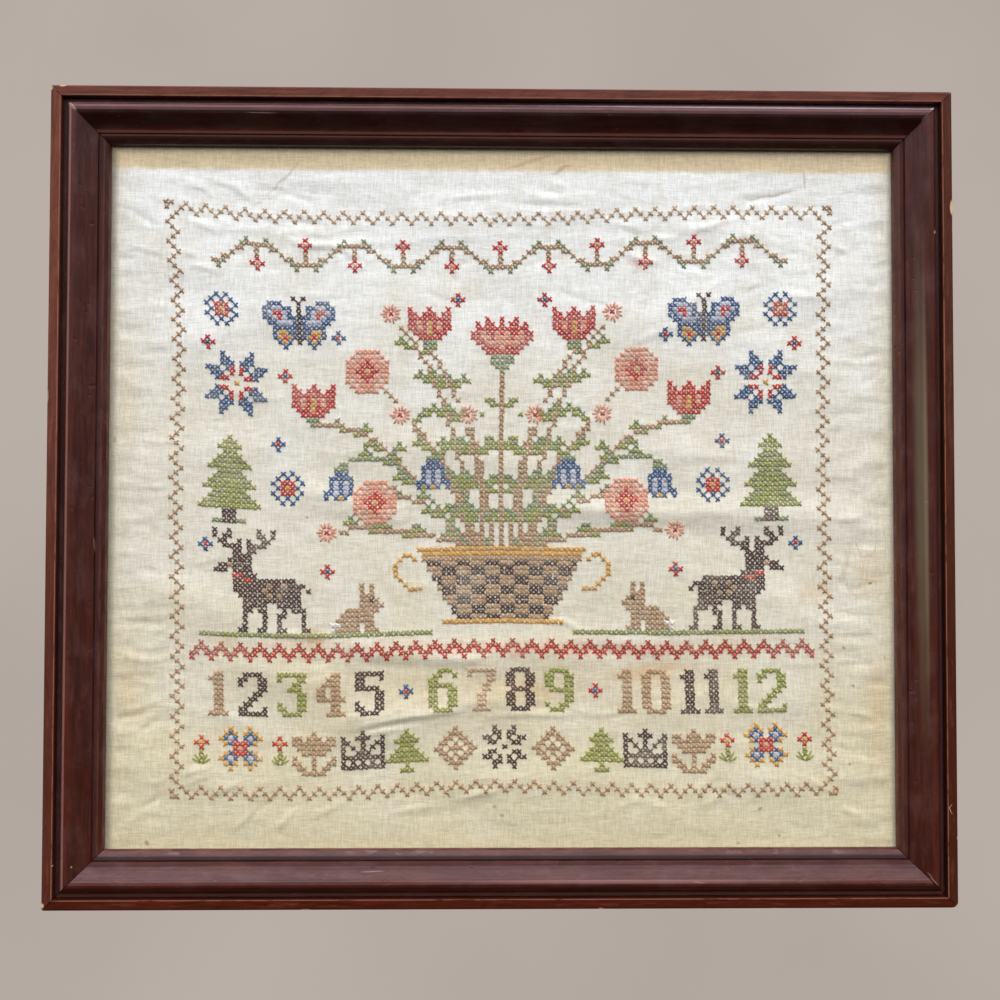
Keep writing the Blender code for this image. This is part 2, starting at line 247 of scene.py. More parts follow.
def feed(node, values):
    """Links or sets a node's inputs by name or number."""
    for key, value in values.items():
        socket = node.inputs[key]
        if isinstance(value, bpy.types.NodeSocket):
            node.id_data.links.new(value, socket)
        else:
            seen = socket.type == "RGBA" and len(value) == 3
            socket.default_value = linear(value) if seen else value
    return node


def add(kind, values, **settings):
    tree = next(value for value in values.values() if isinstance(value, bpy.types.NodeSocket)).id_data
    made = tree.nodes.new("ShaderNode" + kind)
    for name, value in settings.items():
        setattr(made, name, value)
    return feed(made, values)


def placed(group, values):
    return add("Group", values, node_tree=group).outputs


def calc(operation, *terms):
    return add("Math", dict(enumerate(terms)), operation=operation).outputs[0]


plus, minus, times, over = (partial(calc, name) for name in ("ADD", "SUBTRACT", "MULTIPLY", "DIVIDE"))
size = partial(calc, "ABSOLUTE")


def away(first, second):
    return size(minus(first, second))


def vector(operation, first, second):
    return add("VectorMath", {0: first, 1: second}, operation=operation).outputs[0]


def turned(place, angle):
    return add("VectorRotate", {"Vector": place, "Angle": angle}, rotation_type="Y_AXIS").outputs[0]


def joined(x, y, z=0):
    return add("CombineXYZ", {0: x, 1: y, 2: z}).outputs[0]


def mixed(share, first, second, kind="MIX"):
    return add("Mix", {0: share, 6: first, 7: second}, data_type="RGBA", blend_type=kind).outputs[2]


def eased(value, low, high, to_low=0, to_high=1):
    """value from low to high, eased into to_low to to_high."""
    ranges = {"Value": value, "From Min": low, "From Max": high, "To Min": to_low, "To Max": to_high}
    return add("MapRange", ranges, interpolation_type="SMOOTHSTEP").outputs[0]


def noise(place, scale, detail=2, roughness=0.5):
    """Noise of one scale, or of three, along X, Y and Z."""
    if isinstance(scale, tuple):
        place, scale = vector("MULTIPLY", place, scale), 1
    values = {"Vector": place, "Scale": scale, "Detail": detail, "Roughness": roughness}
    return add("TexNoise", values).outputs["Fac"]


def bumped(height, strength, distance, **below):
    """A normal from a height, distance in mm, perhaps on another normal."""
    values = {"Height": height, "Strength": strength, "Distance": distance * MM, **below}
    return add("Bump", values).outputs[0]


def new_group(name, takes, gives):
    """An empty node group, as its input sockets and its output node. Both lists give labels by their kind."""
    tree = bpy.data.node_groups.new(name, "ShaderNodeTree")
    for in_out, sockets in (("INPUT", takes), ("OUTPUT", gives)):
        for kind, labels in sockets.items():
            for label in labels:
                tree.interface.new_socket(label, in_out=in_out, socket_type="NodeSocket" + kind)
    return tree.nodes.new("NodeGroupInput").outputs, tree.nodes.new("NodeGroupOutput")


def new_material(name):
    """A material, with its place in the object's metres and its shader."""
    made = bpy.data.materials.new(name)
    made.use_nodes = True
    nodes = made.node_tree.nodes
    return made, nodes.new("ShaderNodeTexCoord").outputs["Object"], nodes["Principled BSDF"]


def in_mm(place):
    """A place in mm from the frame's centre in the plane of its back."""
    return vector("MULTIPLY", vector("SUBTRACT", place, CENTRE), (1 / MM,) * 3)


def spot_group():
    """A stain, chip, scratch or painted highlight on the face: an oval in XZ with a soft edge, and the rim
    that it dries to.
    """
    takes = {"Vector": ["Place", "Middle", "Half"], "Float": ["Turn", "Soft"]}
    given, out = new_group("spot", takes, {"Float": ["Mask", "Rim"]})
    offset = turned(vector("SUBTRACT", given["Place"], given["Middle"]), given["Turn"])
    shrunk = vector("DIVIDE", offset, given["Half"])
    reach = add("VectorMath", {0: shrunk}, operation="LENGTH").outputs["Value"]
    rim = 0.88
    mask = eased(reach, minus(1, given["Soft"]), 1, 1, 0)
    feed(out, {"Mask": mask, "Rim": eased(away(reach, rim), 0, 0.12, 1, 0)})
    return out.id_data


def floss_group():
    """Stranded cotton: a colour that wanders from stitch to stitch, faded in places, with painted ply shade
    and a soft fuzz.
    """
    takes = {"Vector": ["Place"], "Color": ["Colour"]}
    given, out = new_group("floss", takes, {"Color": ["Colour"], "Float": ["Roughness", "Fuzz"]})
    place, clean = given["Place"], given["Colour"]
    wander = noise(place, 0.35)
    varied = mixed(eased(wander, 0.35, 0.65), mixed(1, clean, (226, 222, 220), "MULTIPLY"), clean)
    faded = mixed(eased(noise(place, 0.06, 1), 0.48, 0.75, 0, 0.2), varied, (222, 212, 190))
    # Painted shade in the dips between the plies, as small dark flecks.
    shaded = mixed(eased(noise(place, 2.6, 1), 0.3, 0.45, 0.16, 0), faded, (60, 50, 45))
    feed(out, {"Colour": shaded, "Roughness": eased(wander, 0.3, 0.7, 0.62, 0.8), "Fuzz": noise(place, 3.4)})
    return out.id_data


def wood_group():
    """Softwood under a dark varnish: streaks along the rail, open pores, and the bump that both give."""
    gives = {"Float": ["Streaks", "Pores", "Bump", "Blotches"]}
    given, out = new_group("wood_grain", {"Float": ["Along", "Inwards", "Height", "Seed"]}, gives)
    along = times(given["Along"], 0.030)
    drift = times(noise(joined(along, given["Seed"]), 0.6), 7)
    place = joined(plus(along, given["Seed"]), plus(given["Inwards"], drift), given["Height"])
    streaks = noise(place, (1, 0.55, 0.55), 4, 0.6)
    pores = eased(noise(place, (6, 3.2, 3.2), 2, 0.55), 0.60, 0.72)
    blotches = noise(place, (0.9, 0.05, 0.05))
    bump = minus(times(streaks, 0.6), pores)
    feed(out, {"Streaks": streaks, "Pores": pores, "Bump": bump, "Blotches": blotches})
    return out.id_data


def band_group():
    """A broken line along a rail at one distance from the frame's outer edge: worn, dusty, painted shade,
    painted highlight.
    """
    takes = {"Float": ["Inwards", "Along", "At", "Half width", "Broken", "Length"]}
    given, out = new_group("band_along_rail", takes, {"Float": ["Mask"]})
    line = over(away(given["Inwards"], given["At"]), given["Half width"])
    place = joined(over(given["Along"], given["Length"]), given["At"], times(given["Inwards"], 0.3))
    gaps = eased(noise(place, 1, 4, 0.7), given["Broken"], plus(given["Broken"], 0.12))
    feed(out, {"Mask": times(eased(line, 0.4, 1, 1, 0), gaps)})
    return out.id_data


SPOT, FLOSS, WOOD, BAND = spot_group(), floss_group(), wood_group(), band_group()


def blotted(colour, place, middle, half, turn, tint, strength, soft, kind="Mask"):
    """Lays an oval of another colour over a colour, or the rim of one."""
    values = {"Place": place, "Middle": middle, "Half": half, "Turn": radians(turn), "Soft": soft}
    return mixed(times(placed(SPOT, values)[kind], strength), colour, tint)


# Stains on the linen: middle x and z, half x and z, turn in degrees, colour, strength, softness, and
# perhaps that only the rim shows
RUST, TEA, DULL_TEA = (178, 112, 62), (214, 172, 112), (184, 156, 116)
PINK, UMBER = (226, 152, 134), (138, 104, 74)
STAINS = [
    (17, 211, 24, 2.2, 18, RUST, 0.3, 0.7), (36, 206, 9, 1.6, 30, RUST, 0.35, 0.6),
    (-138, 199.7, 21, 1.5, 48, DULL_TEA, 0.42, 0.8), (-154, 183, 5, 1.3, 18, DULL_TEA, 0.36, 0.8),
    (170, 190.5, 21, 1.1, 11, RUST, 0.38, 0.8), (190.5, 201, 1.1, 8, 0, RUST, 0.38, 0.8),
    (-243, 34, 1.8, 2.4, 0, RUST, 0.4, 0.8), (229, -47, 14, 18, 0, TEA, 0.26, 0.7),
    (229, -47, 16, 20, 0, TEA, 0.22, 0.5, "Rim"), (214.6, -43.5, 19, 3, 76, DULL_TEA, 0.27, 0.9),
    (223, -33, 9, 1.3, -62, DULL_TEA, 0.3, 0.9), (233, -34, 8, 1.3, 65, DULL_TEA, 0.3, 0.9),
    (0, -120, 225, 24, 0, TEA, 0.16, 0.9), (-117, -88, 10, 7, 0, TEA, 0.55, 0.8),
    (-172, -89, 12, 6, 8, TEA, 0.22, 0.8), (17, -121, 22, 11, -6, TEA, 0.36, 0.9),
    (92, -109, 38, 11, 6, TEA, 0.5, 0.9), (196, -60, 16, 12, 20, TEA, 0.3, 0.9),
    (-230, -120, 13, 40, 0, TEA, 0.2, 0.95), (-233, 60, 10, 50, 0, TEA, 0.16, 0.95),
    (234, -130, 12, 60, 0, TEA, 0.26, 0.95), (84, 147, 8, 6, 0, PINK, 0.4, 0.9),
    (40, -95, 160, 6, 0, PINK, 0.42, 0.9), (-130, -94, 70, 5, 0, PINK, 0.18, 0.9),
    (161, -195, 2, 1.6, 20, UMBER, 0.55, 0.7), (173, -212, 1.6, 1.6, 0, UMBER, 0.5, 0.7),
    (147, -216, 1.4, 1.4, 0, UMBER, 0.5, 0.7), (214, -95, 1.9, 1.7, 0, UMBER, 0.6, 0.7),
    (219, -119, 1.7, 1.5, 0, UMBER, 0.6, 0.7), (217, -167, 1.5, 1.5, 0, UMBER, 0.5, 0.7),
    (-5, -193, 1.6, 1.4, 0, UMBER, 0.5, 0.7), (-33, -187, 1.4, 1.4, 0, UMBER, 0.5, 0.7),
    (-220, -216, 1.9, 1.6, 0, UMBER, 0.6, 0.7), (-122, -14, 1.6, 1.3, 0, UMBER, 0.55, 0.7),
    (230.8, -55, 1.5, 1.3, 0, UMBER, 0.85, 0.7), (239.4, -100.6, 1, 1, 0, UMBER, 0.6, 0.7),
    (0, -198.8, 2, 1.8, 0, UMBER, 0.55, 0.7),
]
LINEN_TOP, LINEN_MIDDLE, LINEN_BOTTOM = (247, 249, 250), (230, 226, 213), (222, 212, 181)
LOWER_FADE, UPPER_FADE = (-220, 0), (10, 200)  # mm up from the middle, between the three
FADE_WANDER = 260  # mm
LINEN_YELLOWED = (214, 198, 156)
YELLOWED_EDGE, EDGE_WANDER = 18, 14  # mm
TOP_BAND = 12.6  # mm of linen below the top lip, painted darker and yellower: yellowing, as under a mount that is gone, and painted shade from the top rail
LIP_SHADE = 5  # mm of painted shade on the linen along the side and top lips
WIDE_STAIN = 4  # mm; a stain with a smaller half than this keeps its form
RAGGED, BENT = 16, 5  # mm that the outline of a wide stain and of a narrow one strays
THREAD_PITCH = 0.46  # mm between the linen's threads


def stained_linen(place, strayed, bent, x, z):
    """The linen before its weave: paler upwards, mottle, yellowed edge, top band, painted lip shade, stains.
    """
    up = plus(z, times(minus(noise(place, 0.02), 0.5), FADE_WANDER))
    colour = mixed(eased(up, *LOWER_FADE), LINEN_BOTTOM, LINEN_MIDDLE)
    colour = mixed(eased(up, *UPPER_FADE), colour, LINEN_TOP)
    mottle = noise(place, 0.09, 4, 0.6)
    colour = mixed(eased(mottle, 0.46, 0.76, 0, 0.28), colour, (218, 208, 184))
    colour = mixed(eased(mottle, 0.28, 0.45, 0.18, 0), colour, (240, 240, 236))
    ragged = times(minus(noise(place, 0.10, 3), 0.5), EDGE_WANDER)
    to_side = minus(OPENING_WIDTH / 2 / MM, size(x))
    to_foot = plus(OPENING_HEIGHT / 2 / MM, z)
    to_top = minus(OPENING_HEIGHT / 2 / MM, z)
    to_edge = plus(calc("MINIMUM", to_side, to_foot), ragged)
    colour = mixed(eased(to_edge, -2, YELLOWED_EDGE, 0.4, 0), colour, LINEN_YELLOWED)
    # The band below the top lip: yellowing with painted shade from the top rail.
    to_band = plus(to_top, times(ragged, 0.12))
    colour = mixed(eased(to_band, TOP_BAND - 0.8, TOP_BAND + 3.2, 1, 0), colour, (232, 213, 178))
    # Painted shade on the linen beside the side and top lips, where the rails shade it; none at the foot.
    to_lip = calc("MINIMUM", plus(to_side, times(x, 0.004)), to_top)
    colour = mixed(eased(to_lip, 0, LIP_SHADE, 0.7, 0), colour, (136, 127, 114))
    for mid_x, mid_z, half_x, half_z, *look in STAINS:
        outline = strayed if min(half_x, half_z) > WIDE_STAIN else bent
        colour = blotted(colour, outline, (mid_x, 0, mid_z), (half_x, THROUGH, half_z), *look)
    return colour


def linen_finish():
    """Plain-woven linen with slubs and holes, and a soft rumple and crimp under them."""
    made, here, shader = new_material("linen")
    place = in_mm(here)
    x, _, z = add("SeparateXYZ", {0: place}).outputs
    wobble = add("TexNoise", {"Vector": place, "Scale": 0.13, "Detail": 3}).outputs["Color"]
    shift = vector("SUBTRACT", wobble, (0.5,) * 3)
    shifts = (vector("MULTIPLY", shift, (reach,) * 3) for reach in (RAGGED, BENT))
    strayed, bent = (vector("ADD", place, moved) for moved in shifts)
    colour = stained_linen(place, strayed, bent, x, z)
    slubs = plus(noise(place, (0.14, 0.05, 1.4), 3, 0.7), times(noise(place, (1.4, 0.05, 0.14), 3, 0.7), 1.1))
    thin = mixed(eased(slubs, 0.78, 1.3), (230, 228, 223), (255, 255, 255))
    colour = mixed(1, colour, thin, "MULTIPLY")
    warp, weft = (calc("SINE", times(across, pi / THREAD_PITCH)) for across in (x, z))
    weave = times(times(warp, weft), 0.5)
    holes = eased(size(weave), 0, 0.16, 0.88, 1)
    grey = add("CombineColor", {0: holes, 1: holes, 2: holes}).outputs[0]
    rumple = bumped(noise(bent, (0.035, 0.05, 0.09)), 1, 0.9)
    crimp = bumped(noise(bent, (0.08, 0.05, 0.32), 3, 0.6), 1, 0.1, Normal=rumple)
    feed(shader, {
        "Base Color": mixed(1, colour, grey, "MULTIPLY"),
        "Normal": bumped(plus(weave, times(slubs, 1.7)), 0.75, 0.12, Normal=crimp),
        "Roughness": eased(slubs, 0.7, 1.4, 0.95, 0.85),
        "Sheen Weight": 0.08,
    })
    return made


def thread_finish(name, colour):
    made, here, shader = new_material("thread_" + name)
    floss = placed(FLOSS, {"Place": in_mm(here), "Colour": colour})
    feed(shader, {
        "Base Color": floss["Colour"],
        "Roughness": floss["Roughness"],
        "Normal": bumped(floss["Fuzz"], 0.5, 0.08),
        "Sheen Weight": 0.15,
    })
    return made


# The frame's varnish

VARNISH = (66, 25, 16)
EDGING_VARNISH = {"left": (104, 56, 42), "top": (100, 54, 44), "right": (80, 38, 25), "bottom": (72, 23, 9)}
EDGING_LOW = {"left": (72, 30, 16), "right": (62, 20, 7)}  # the uprights darken downwards
LOW_FADE = (-120, 90)  # mm up from the middle
BARE_WOOD, PALE_SCRATCH, PINK_SCRATCH = (206, 172, 132), (176, 148, 124), (150, 118, 106)
# Black for dirt in pores, joints and specks, and for painted shadow lines; the groove's dark red is painted
# shade in its recess.
DUST, BLACK_DIRT_AND_SHADE, GROOVE_SHADE_RED, BLOOM = (112, 104, 98), (14, 7, 6), (50, 17, 10), (122, 88, 84)
# A painted highlight.
GLINT = (246, 232, 246)
WORN_GREY = (100, 86, 66)  # where the varnish is rubbed through on the right rail
GROOVE_MIDDLE, COVE_FOOT = 8.4, 29.8  # mm from the outer edge

# Lines along the rails: mm from the outer edge, half width, how broken, length of breaks, colour, strength
RAIL_BANDS = [
    (8.6, 0.8, 0.66, 2.5, DUST, 0.35), (14.2, 2.6, 0.4, 40, (92, 34, 23), 0.35),
    # painted shade in the crevice at the cove's foot; the sight edge worn paler
    (29.3, 0.8, 0.1, 40, (44, 14, 9), 0.55), (34, 0.5, 0.45, 14, (112, 66, 52), 0.45),
]
# Lines on one side only, mostly painted light and shade from light above: shadow lines, shade on faces that
# look down, highlights on crests.
SIDE_BANDS = {
    "left": [
        # painted shadow beside the groove; painted highlight with wear on the shoulder's outer arris; a
        # lighter lip
        (9.8, 0.5, 0.05, 40, BLACK_DIRT_AND_SHADE, 0.85), (12.5, 1.2, 0.2, 60, (150, 106, 98), 0.58),
        (31.2, 0.6, 0.42, 22, (112, 62, 50), 0.4),
    ],
    "top": [
        # painted shadow under the edging; painted highlight on the shoulder; painted shade on the cove and
        # the lip, which look down; lighter bead lines
        (7.3, 0.5, 0.02, 40, BLACK_DIRT_AND_SHADE, 0.8), (10.2, 1.2, 0.02, 60, (172, 124, 128), 0.45),
        (20, 7.5, 0, 60, (22, 6, 3), 0.6), (27.2, 1.2, 0.05, 60, (120, 74, 60), 0.62),
        (29, 0.8, 0.1, 60, (124, 76, 62), 0.62), (31.8, 2.6, 0, 60, (26, 8, 4), 0.45),
        (34.3, 0.4, 0, 60, (18, 6, 3), 0.85),
    ],
    "right": [
        # painted shadow beside the edging; a lighter groove floor against its painted shade; a lighter lip
        (7.1, 0.5, 0.02, 40, (24, 6, 4), 0.95), (8.5, 0.7, 0.05, 40, (84, 44, 38), 0.5),
        (31.2, 0.6, 0.42, 22, (112, 62, 50), 0.3), (32.6, 1.8, 0.3, 30, (110, 76, 58), 0.2),
    ],
    "bottom": [
        # lit groove floor painted lighter; painted shadow beside the shoulder; painted shade on its rounding;
        # painted highlight on the crest; painted shade at the cove's foot
        (8.4, 1.1, 0.02, 40, (92, 42, 27), 0.7), (10.1, 0.6, 0.02, 40, (30, 7, 4), 0.9),
        (13.6, 1.5, 0.02, 60, (40, 12, 8), 0.6), (16.8, 1.4, 0.2, 60, (140, 92, 90), 0.12),
        (29.8, 1.6, 0.02, 60, (34, 8, 4), 0.85),
    ],
}
EDGING_BANDS = [
    # a bare outer edge; a painted highlight on the inner arris
    (0.2, 0.5, 0.6, 9, (168, 120, 88), 0.7), (6, 0.4, 0.36, 24, (168, 112, 92), 0.5),
    # painted shadow at the inner edge; lighter patches
    (6.9, 0.4, 0, 40, BLACK_DIRT_AND_SHADE, 0.5), (3.4, 1.8, 0.55, 26, (120, 66, 54), 0.3),
]
# Where a crest still shines: the same but for colour and strength
POLISHED = {"left": (12.4, 1.2, 0.36, 30), "top": (10.5, 1.4, 0.15, 60), "right": (32.5, 2, 0.52, 20),
            "bottom": (32.6, 1.8, 0.56, 12)}
# Marks by side: middle x and z, half x and z, turn in degrees, colour, strength
RAIL_MARKS = {
    "left": [
        (-266.6, 239.4, 5.2, 0.8, -45, PALE_SCRATCH, 0.8), (-261.7, -226.4, 0.6, 0.7, 0, PALE_SCRATCH, 0.8),
        (-243.1, 40, 0.8, 1.2, 0, BLACK_DIRT_AND_SHADE, 0.9), (-252, -31, 0.4, 6, 3, PALE_SCRATCH, 0.35),
    ],
    "top": [
        # painted highlights on the shoulder's crest: a long lavender sheen and two glints
        (170, 242.8, 230, 2, 0, (236, 212, 232), 0.72), (77, 242.9, 10, 0.9, 0, GLINT, 0.7),
        (180, 242.7, 14, 0.9, 0, GLINT, 0.6), (-266.2, 239.8, 5, 0.7, -45, PALE_SCRATCH, 0.6),
        # a painted glint at the top-right mitre
        (268.4, 242.9, 2.8, 1, 20, GLINT, 0.9), (262.6, 235.9, 3.6, 0.5, 45, PALE_SCRATCH, 0.5),
        (223.4, 216.4, 0.9, 0.7, 0, BLACK_DIRT_AND_SHADE, 0.9), (-150, 236, 12, 0.4, -1, PALE_SCRATCH, 0.25),
    ],
    "right": [
        (259.4, 5, 5, 200, 0.3, WORN_GREY, 0.75), (261.6, 12, 1.7, 180, 0.2, (128, 108, 88), 0.55),
        (268.7, 164.6, 1.3, 0.8, 60, BARE_WOOD, 0.9), (264.4, -236, 4.6, 0.5, -48, PINK_SCRATCH, 0.55),
        (262, -232.4, 2.4, 0.35, -40, PINK_SCRATCH, 0.5),
    ],
    "bottom": [
        # a painted pink highlight along the bottom rail's crest
        (75, -236, 160, 1.6, 0, (170, 124, 126), 0.34), (220.2, -219.9, 0.8, 0.6, 0, BLACK_DIRT_AND_SHADE, 0.8),
        (-80, -230.5, 9, 0.4, 2, PALE_SCRATCH, 0.3), (120, -236.5, 5, 0.5, -8, PALE_SCRATCH, 0.3),
    ],
}
EDGING_MARKS = {
    "left": [
        (-273.5, -225.8, 0.6, 0.6, 0, PALE_SCRATCH, 0.8), (-279.4, -249.8, 1.5, 1.8, 0, BARE_WOOD, 0.9),
        (-279.6, 250.8, 1.2, 1.6, 0, BARE_WOOD, 0.8), (-279.6, 60, 0.7, 5, 0, BARE_WOOD, 0.5),
    ],
    "top": [
        (-272.4, 252.6, 2.6, 0.9, 6, BARE_WOOD, 0.9),
    ],
    "right": [
        (279.4, 180, 1.5, 5.6, 0, BARE_WOOD, 1), (279.9, -210.3, 0.7, 1.5, 0, BARE_WOOD, 0.7),
        (275.4, -193.6, 0.35, 3.2, 26, PALE_SCRATCH, 0.7), (275.4, -191, 0.3, 2.4, -38, PALE_SCRATCH, 0.7),
    ],
    "bottom": [
        (-120, -252.8, 4, 0.7, 0, BARE_WOOD, 0.6), (60, -252.6, 2, 0.7, 0, BARE_WOOD, 0.7),
    ],
}
LONG_RUB = 100  # mm; a longer mark than this fades out at its edges
EDGING_FACE, CHIP_DEPTH = 20, 4  # mm off the back, and how far down its sides a mark reaches
SAW_TURN = radians(-52)  # of the saw marks under the edging's varnish


def rail_place(place, side):
    """Along the rail, inwards from the outer edge and off the back, and how far the mitre is, all in mm."""
    x, y, z = add("SeparateXYZ", {0: place}).outputs
    upright = side in ("left", "right")
    across, along = (x, z) if upright else (z, x)
    across_reach, along_reach = (FRAME_WIDTH, FRAME_HEIGHT) if upright else (FRAME_HEIGHT, FRAME_WIDTH)
    inwards = minus(across_reach / 2 / MM, times(across, -1 if side in ("left", "bottom") else 1))
    to_mitre = minus(minus(along_reach / 2 / MM, size(along)), inwards)
    return {"Along": along, "Inwards": inwards, "Height": times(y, -1)}, size(to_mitre)


def line_mask(rail, at, half, broken, length):
    line = {"At": at, "Half width": half, "Broken": broken, "Length": length}
    return placed(BAND, {"Inwards": rail["Inwards"], "Along": rail["Along"], **line})["Mask"]


def banded(colour, rail, bands):
    for *line, tint, strength in bands:
        colour = mixed(times(line_mask(rail, *line), strength), colour, tint)
    return colour


def marked(colour, place, marks, mid_y=0, half_y=THROUGH):
    for mid_x, mid_z, half_x, half_z, turn, tint, strength in marks:
        soft = 0.9 if max(half_x, half_z) > LONG_RUB else 0.5
        middle, half = (mid_x, mid_y, mid_z), (half_x, half_y, half_z)
        colour = blotted(colour, place, middle, half, turn, tint, strength, soft)
    return colour


def varnished_wood(place, side, seed, varnish):
    """What the moulding and the edging share: the place on the rail, the grain and the stained wood."""
    rail, to_mitre = rail_place(place, side)
    wood = placed(WOOD, {**rail, "Seed": seed})
    colour = mixed(eased(wood["Streaks"], 0.3, 0.7), shade(varnish, 0.68), shade(varnish, 1.32))
    colour = mixed(eased(wood["Blotches"], 0.45, 0.75, 0, 0.5), colour, shade(varnish, 0.78))
    colour = mixed(times(wood["Pores"], 0.35), colour, BLACK_DIRT_AND_SHADE)
    return rail, to_mitre, wood, colour


def bare_at_back(colour, rail, wood):
    bare = mixed(eased(wood["Streaks"], 0.35, 0.65), (146, 110, 74), (184, 148, 106))
    return mixed(eased(rail["Height"], 0.1, 0.5, 1, 0), colour, bare)


def moulding_finish(side, seed):
    """Dark varnish, worn red on the arrises, dusty groove, painted shade in the groove and under the cove,
    painted highlights.
    """
    made, here, shader = new_material("varnish_" + side)
    place = in_mm(here)
    rail, to_mitre, wood, colour = varnished_wood(place, side, seed, VARNISH)
    # Painted shade in the groove's recess.
    groove = eased(away(rail["Inwards"], GROOVE_MIDDLE), 1.2, 1.6, 0.72, 0)
    colour = mixed(groove, colour, GROOVE_SHADE_RED)
    colour = mixed(eased(noise(place, (0.05, 0.2, 0.05), 4, 0.7), 0.44, 0.7, 0, 0.16), colour, BLOOM)
    colour = banded(colour, rail, RAIL_BANDS + SIDE_BANDS[side])
    colour = mixed(eased(to_mitre, 0.15, 0.55, 0.85, 0), colour, BLACK_DIRT_AND_SHADE)
    colour = marked(colour, place, RAIL_MARKS[side])
    colour = mixed(eased(noise(place, 0.9, 1), 0.74, 0.78, 0, 0.5), colour, DUST)
    haze = eased(noise(place, 0.05, 3), 0.3, 0.7, 0.28, 0.44)
    shine = line_mask(rail, *POLISHED[side])
    rough = minus(plus(haze, times(groove, 0.5)), times(shine, 0.12))
    under_cove = eased(away(rail["Inwards"], COVE_FOOT), 0.5, 1.8, 0.4, 0)
    dents = eased(noise(place, 0.16, 1), 0.7, 0.78, 0, -4)
    feed(shader, {
        "Base Color": bare_at_back(colour, rail, wood),
        "Coat Weight": eased(shine, 0, 1, 0.25, 1),
        "Coat Roughness": 0.22,
        "Roughness": plus(rough, under_cove),
        "Normal": bumped(plus(wood["Bump"], dents), 0.35, 0.15),
        "Specular IOR Level": 0.4,
    })
    return made


def edging_finish(side, seed):
    """Redder, thinner varnish on a flat lath, its outer edge knocked bare in places, painted light and shade
    on its inner edge.
    """
    made, here, shader = new_material("edging_varnish_" + side)
    place, varnish = in_mm(here), EDGING_VARNISH[side]
    rail, to_mitre, wood, colour = varnished_wood(place, side, seed, varnish)
    saw_marks = noise(turned(place, SAW_TURN), (0.7, 0.05, 0.04))
    colour = mixed(eased(saw_marks, 0.5, 0.68, 0, 0.45), colour, shade(varnish, 0.55))
    patches = noise(place, (0.06, 0.2, 0.06), 3, 0.6)
    colour = mixed(eased(patches, 0.52, 0.7, 0, 0.45), colour, shade(varnish, 1.5))
    if side in EDGING_LOW:
        colour = mixed(eased(rail["Along"], *LOW_FADE, 0.7, 0), colour, EDGING_LOW[side])
    near_face = eased(rail["Height"], EDGING_FACE - CHIP_DEPTH, EDGING_FACE - 1)
    colour = mixed(near_face, colour, banded(colour, rail, EDGING_BANDS))
    colour = mixed(eased(to_mitre, 0.15, 0.5, 0.8, 0), colour, BLACK_DIRT_AND_SHADE)
    colour = marked(colour, place, EDGING_MARKS[side], -EDGING_FACE, CHIP_DEPTH)
    feed(shader, {
        "Base Color": bare_at_back(colour, rail, wood),
        "Roughness": eased(wood["Streaks"], 0.3, 0.7, 0.42, 0.56),
        "Normal": bumped(wood["Bump"], 0.5, 0.18),
        "Specular IOR Level": 0.15,
        "Coat Weight": 0.02,
        "Coat Roughness": 0.35,
    })
    return made


def board_finish():
    """Brown fibreboard, flecked and a little stained."""
    made, here, shader = new_material("fibreboard")
    place = in_mm(here)
    flecks = noise(place, 0.7, 4, 0.7)
    colour = mixed(eased(flecks, 0.35, 0.65), (120, 88, 58), (158, 122, 84))
    tide = eased(noise(place, 0.015, 3), 0.5, 0.66, 0, 0.5)
    feed(shader, {
        "Base Color": mixed(tide, colour, (108, 78, 52)),
        "Roughness": eased(flecks, 0.3, 0.7, 0.95, 0.82),
        "Normal": bumped(flecks, 0.5, 0.3),
    })
    return made


def glue_finish():
    """Old brown glue, darker where it has pooled."""
    made, here, shader = new_material("glue")
    pooled = noise(in_mm(here), 0.4)
    colour = mixed(pooled, (30, 14, 9), (48, 24, 14))
    feed(shader, {"Base Color": colour, "Roughness": eased(pooled, 0.3, 0.7, 0.75, 0.9)})
    return made


# The glue's outline in a mitre: mm inwards from the frame's outer edge, and mm off the back
GLUE_OUTLINE = [
    (0.6, 0.6), (0.6, 18.9), (6.4, 18.9), (7.4, 15.5), (9.7, 15.5), (10.4, 17.2), (12, 19.9), (13.7, 20.7),
    (15.6, 20.9), (17.3, 20.5), (20.9, 17.7), (23.1, 16), (25.3, 14.7), (27.4, 13.8), (28.4, 12.6),
    (30.4, 12.7), (32.3, 11.3), (33.8, 9.7), (33.8, 8), (28, 8), (28, 0.6),
]
GLUE_THICKNESS = 0.1 * MM


def glue_mitres():
    """A film of glue in each corner's mitre, which shuts out the light behind the frame."""
    finish = glue_finish()
    for corner in ("top_left", "top_right", "bottom_right", "bottom_left"):
        side_x, side_z = 1 if "right" in corner else -1, 1 if "top" in corner else -1
        film = bmesh.new()
        aside = Vector((side_x, 0, -side_z)).normalized() * GLUE_THICKNESS / 2
        points = [
            Vector((CENTRE.x + side_x * (FRAME_WIDTH / 2 - inwards * MM), -height * MM,
                    CENTRE.z + side_z * (FRAME_HEIGHT / 2 - inwards * MM)))
            for inwards, height in GLUE_OUTLINE
        ]
        front, back = ([film.verts.new(point + offset) for point in points] for offset in (aside, -aside))
        film.faces.new(front)
        film.faces.new(back)
        for n in range(len(front)):
            film.faces.new((front[n - 1], front[n], back[n], back[n - 1]))
        bmesh.ops.recalc_face_normals(film, faces=film.faces)
        glue = object_from(film, "glue_" + corner, finish)
        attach(glue, BODY)


def finish_frame():
    finishes = {"backing_board": board_finish()}
    for number, side in enumerate(SIDES):
        finishes["rail_" + side] = moulding_finish(side, 3.7 * number)
        finishes["edging_" + side] = edging_finish(side, 5.3 * number + 1.9)
    for name, finish in finishes.items():
        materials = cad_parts[name].data.materials
        materials.clear()
        materials.append(finish)


# The linen


